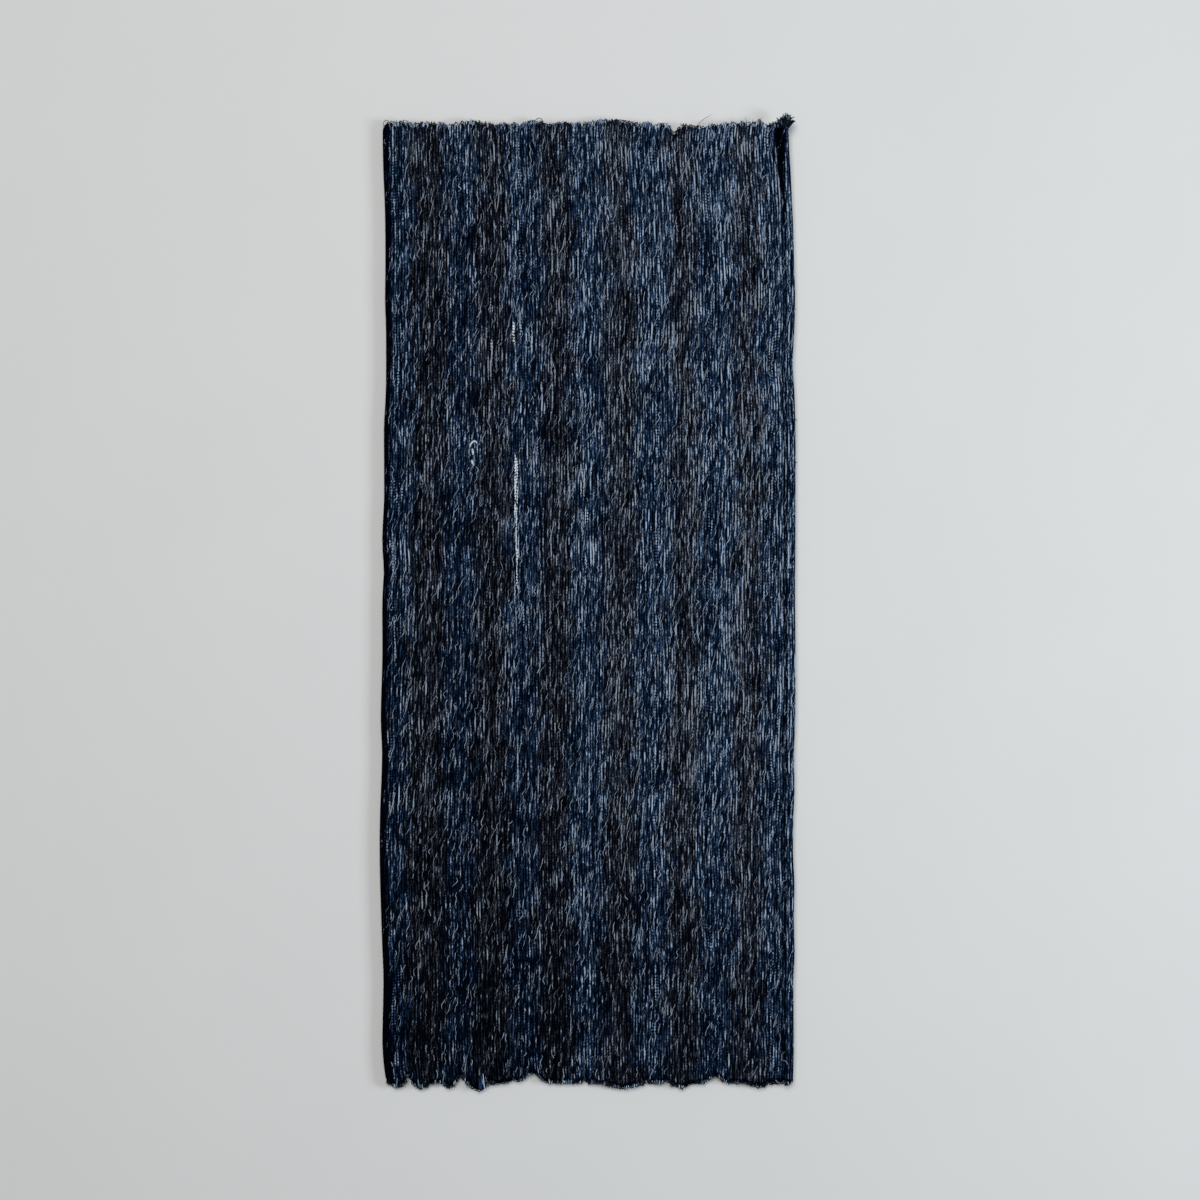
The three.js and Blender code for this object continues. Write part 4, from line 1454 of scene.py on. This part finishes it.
@dataclass
class Slubs:
    """Light yarns that surface on the right side: the broken streaks, and small slubs all over."""

    cloth: FoldedCloth
    scattered: int = 3000
    warp_pitch: float = 2.85
    corner_x: float = 172.0
    corner_y: float = 385.0

    def streak(self, bundle: YarnBundle, streak: Streak, chance: random.Random) -> None:
        """Adds one broken streak, which dips under each warp thread.

        Args:
            bundle: Where its strands go.
            streak: Its place and size.
            chance: Draws its unevenness.
        """
        wander = SoftNoise(chance.randrange(1000), 1.0, 26.0)
        shared = chance.uniform(0, 2 * math.pi)
        for strand in range(streak.strands):
            aside = (strand - (streak.strands - 1) / 2) * streak.radius * 1.9
            phase = shared + chance.gauss(0, 0.7)
            y = streak.far_y - chance.uniform(0, 3) * strand
            end = streak.near_y + chance.uniform(-4, 4) * (strand > 0)
            while y > end:
                length = min(chance.uniform(8, 24), y - end + 2)
                at = y - length * np.linspace(0, 1, max(5, round(length / 0.95)))
                x = streak.x + aside + streak.wander * wander.at(strand * 3.0, at)
                x = x + 0.22 * np.sin(math.pi * at / self.warp_pitch + phase)
                dip = streak.radius * (1.9 * np.sin(2 * math.pi * at / self.warp_pitch + phase) - 0.4)
                knots = np.stack([x, at, self.cloth.top_height_at(x, at) + dip], axis=1)
                bundle.add(knots, streak.radius * chance.uniform(0.85, 1.15), taper=0.35, steps=1)
                y -= length + chance.uniform(0.5, 5.0)

    def scatter(self, pale: YarnBundle, blue: YarnBundle, grey: YarnBundle) -> None:
        """Adds small bowed slubs all over the top layer.

        Args:
            pale: Where the palest go.
            blue: Where the others in the blue stripes go.
            grey: Where the others in the charcoal stripes go.
        """
        count = self.scattered
        draw = np.random.default_rng(61)
        finish = self.cloth.finish
        x = finish.rib_start + finish.rib_pitch * (draw.integers(1, 153, count) + draw.uniform(0.2, 0.8, count))
        y = draw.uniform(-449, 449, count)
        length = np.minimum(26.0, 4.0 + draw.exponential(6.0, count))
        lean = draw.normal(0.16, 0.1, count)
        bow = draw.normal(0, 0.9, count)
        sway = draw.normal(0, 0.55, count)
        phase = draw.uniform(0, 2 * math.pi, count)
        radius = draw.uniform(0.2, 0.42, count)
        pick = draw.uniform(0, 1, count)
        share = np.linspace(-1, 1, 7)
        at = y[:, None] + length[:, None] / 2 * share
        across = x[:, None] + (lean * length / 2)[:, None] * share + bow[:, None] * (share**2 - 0.4)
        across = across + sway[:, None] * np.sin(length[:, None] / 3.2 * share + phase[:, None])
        height = self.cloth.top_height_at(across, at) + 0.3 * (1 - share**2) - 0.34
        stripe = np.cos(2 * math.pi * (x - finish.stripe_centre) / finish.stripe_period)
        for i in range(count):
            is_blue = stripe[i] > draw.uniform(-0.5, 0.5)
            if x[i] > self.corner_x and y[i] > self.corner_y:
                continue
            bundle = pale if pick[i] < (0.5 if is_blue else 0.3) else (blue if is_blue else grey)
            bundle.add(np.stack([across[i], at[i], height[i]], axis=1), radius[i], taper=0.3, steps=1)

    def build(self) -> list[bpy.types.Object]:
        """Makes the slubs, one piece for each finish."""
        chance = random.Random(47)
        white = YarnBundle("white_wool_streak", WHITE_WOOL)
        faded = YarnBundle("faded_wool_streak", FADED_WOOL)
        pale = YarnBundle("pale_slubs", PALE_SLUB, sides=4)
        blue = YarnBundle("blue_slubs", BLUE_SLUB, sides=4)
        grey = YarnBundle("grey_slubs", GREY_SLUB, sides=4)
        for streak in STREAKS:
            bundle = {WHITE_WOOL: white, FADED_WOOL: faded}.get(streak.yarn, pale)
            self.streak(bundle, streak, chance)
        self.scatter(pale, blue, grey)
        return [white.build(), faded.build(), pale.build(), blue.build(), grey.build()]


@dataclass
class LooseThreads:
    """The threads that lie on the rug or hang from its edges, and the frayed corner tuft."""

    cloth: FoldedCloth
    tuft_fibres: int = 230

    def height(self, x: float, y: float) -> float:
        """Height of the cloth under a thread, or of its rim where the thread has left it."""
        near = self.cloth.selvedge_at(x, False)
        far = self.cloth.selvedge_at(x, True)
        inside = min(max(y, near + 3), far - 3)
        past = abs(y - inside)
        return float(self.cloth.top_height_at(min(max(x, -194.0), 194.0), inside)[0]) - min(past, 6.0) * 0.25

    def hand_placed(self) -> list[bpy.types.Object]:
        """Makes the threads of the table, one piece for each yarn."""
        bundles: dict[str, YarnBundle] = {}
        for thread in THREADS:
            name = f"loose_{thread.yarn.name}"
            bundle = bundles.setdefault(name, YarnBundle(name, thread.yarn))
            knots = [(x, y, self.height(x, y) + rise) for x, y, rise in thread.knots]
            bundle.add(knots, thread.radius, taper=0.45, steps=5)
        return [bundle.build() for bundle in bundles.values()]

    def tuft(self) -> list[bpy.types.Object]:
        """Makes the frayed tuft on the lifted corner, dark with a few pale fibres."""
        chance = random.Random(53)
        dark = YarnBundle("corner_tuft_dark", TEAL_YARN, sides=5)
        pale = YarnBundle("corner_tuft_pale", PALE_YARN, sides=5)
        for i in range(self.tuft_fibres):
            left, right = (178.5, 187.0) if i % 3 else (188.0, 191.5)
            x = chance.uniform(left, right)
            y = chance.uniform(450.0, 456.0)
            z = self.height(x, y) + chance.uniform(-2.2, 0.4)
            lean = 0.1 + (x - 178.5) * 0.05 + chance.gauss(0, 0.25)
            length = chance.uniform(1.5, 6.5) * (0.6 + 0.4 * math.sin((x - left) / (right - left) * math.pi))
            curl = chance.gauss(0, 0.8)
            target = pale if chance.random() < 0.08 else dark
            target.add(
                [
                    (x, y, z),
                    (x + lean * 0.3 * length, y + 0.45 * length, z + chance.uniform(-0.2, 0.9)),
                    (x + lean * 0.8 * length, y + 0.8 * length, z + chance.uniform(-0.9, 0.7)),
                    (x + lean * length + curl, y + length * chance.uniform(0.8, 1.05), z + chance.uniform(-2, 0.5)),
                ],
                chance.uniform(0.3, 0.65) * (0.6 if target is pale else 1.0),
                taper=0.35,
                steps=3,
            )
        return [dark.build(), pale.build()]


@dataclass
class Studio:
    """The pale floor, the soft light and the camera above."""

    floor_size: float = 24.0
    frame_width: float = 1.14
    lens: float = 70.0
    sensor: float = 36.0
    aim: tuple[float, float, float] = (0.0116, 0.0033, 0.0125)

    def floor(self) -> bpy.types.Object:
        """Makes the floor."""
        half = self.floor_size / 2
        mesh = bpy.data.meshes.new("pale_floor")
        mesh.from_pydata([(-half, -half, 0), (half, -half, 0), (half, half, 0), (-half, half, 0)], [], [(0, 1, 2, 3)])
        mesh.materials.append(FloorFinish().material())
        floor = bpy.data.objects.new("pale_floor", mesh)
        bpy.context.scene.collection.objects.link(floor)
        return floor

    def lights(self) -> None:
        """Sets the soft light: an even sky, a broad softbox above, and a small one at the right."""
        world = bpy.data.worlds.new("studio_sky")
        world.use_nodes = True
        sky = world.node_tree.nodes["Background"]
        sky.inputs["Color"].default_value = (0.985, 0.99, 1.0, 1.0)
        sky.inputs["Strength"].default_value = 0.115
        bpy.context.scene.world = world
        self.softbox("top_softbox", (-0.3, 1.0, 3.8), (-15, -4), 1.8, 92.0, (1.0, 0.995, 0.98))
        self.softbox("side_softbox", (2.4, -0.2, 1.6), (4, 56), 0.9, 33.0, (0.84, 0.95, 1.0))

    def softbox(
        self,
        name: str,
        place: tuple[float, float, float],
        tilt: tuple[float, float],
        size: float,
        power: float,
        colour: Colour,
    ) -> None:
        """Hangs one soft light.

        Args:
            name: Its name.
            place: Where it hangs.
            tilt: How far it turns about X and about Y, in degrees, from facing down.
            size: Length of its square side.
            power: Its power in watts.
            colour: Its colour.
        """
        data = bpy.data.lights.new(name, "AREA")
        data.energy = power
        data.size = size
        data.color = colour
        lamp = bpy.data.objects.new(name, data)
        lamp.location = place
        lamp.rotation_euler = (math.radians(tilt[0]), math.radians(tilt[1]), 0)
        bpy.context.scene.collection.objects.link(lamp)

    def camera(self) -> bpy.types.Object:
        """Makes the camera, straight above the rug."""
        data = bpy.data.cameras.new("camera")
        data.lens = self.lens
        data.sensor_width = self.sensor
        camera = bpy.data.objects.new("camera", data)
        distance = self.frame_width * self.lens / self.sensor
        camera.location = (self.aim[0], self.aim[1], self.aim[2] + distance)
        bpy.context.scene.collection.objects.link(camera)
        bpy.context.scene.camera = camera
        return camera


def settle(piece: bpy.types.Object) -> bpy.types.Object:
    """Lets a piece ride on the rug's body.

    Args:
        piece: The piece, in place.

    Returns:
        The same piece.
    """
    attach(piece, BODY)
    log.info("built %s, %d faces", piece.name, len(piece.data.polygons))
    return piece


def main() -> None:
    """Builds the rug and its studio in order."""
    logging.basicConfig(level=logging.INFO, format="%(name)s: %(message)s")
    cloth = FoldedCloth()
    rug_cloth = settle(cloth.build())
    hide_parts(NODE)
    selvedges = Selvedges(cloth)
    trims = [settle(selvedges.turns())]
    trims.extend(settle(piece) for piece in selvedges.wisps())
    trims.extend(settle(piece) for piece in Slubs(cloth).build())
    threads = LooseThreads(cloth)
    trims.extend(settle(piece) for piece in threads.hand_placed())
    trims.extend(settle(piece) for piece in threads.tuft())
    studio = Studio()
    studio.floor()
    studio.lights()
    studio.camera()
    bpy.context.scene.view_settings.view_transform = "Standard"


if __name__ == "__main__":
    main()
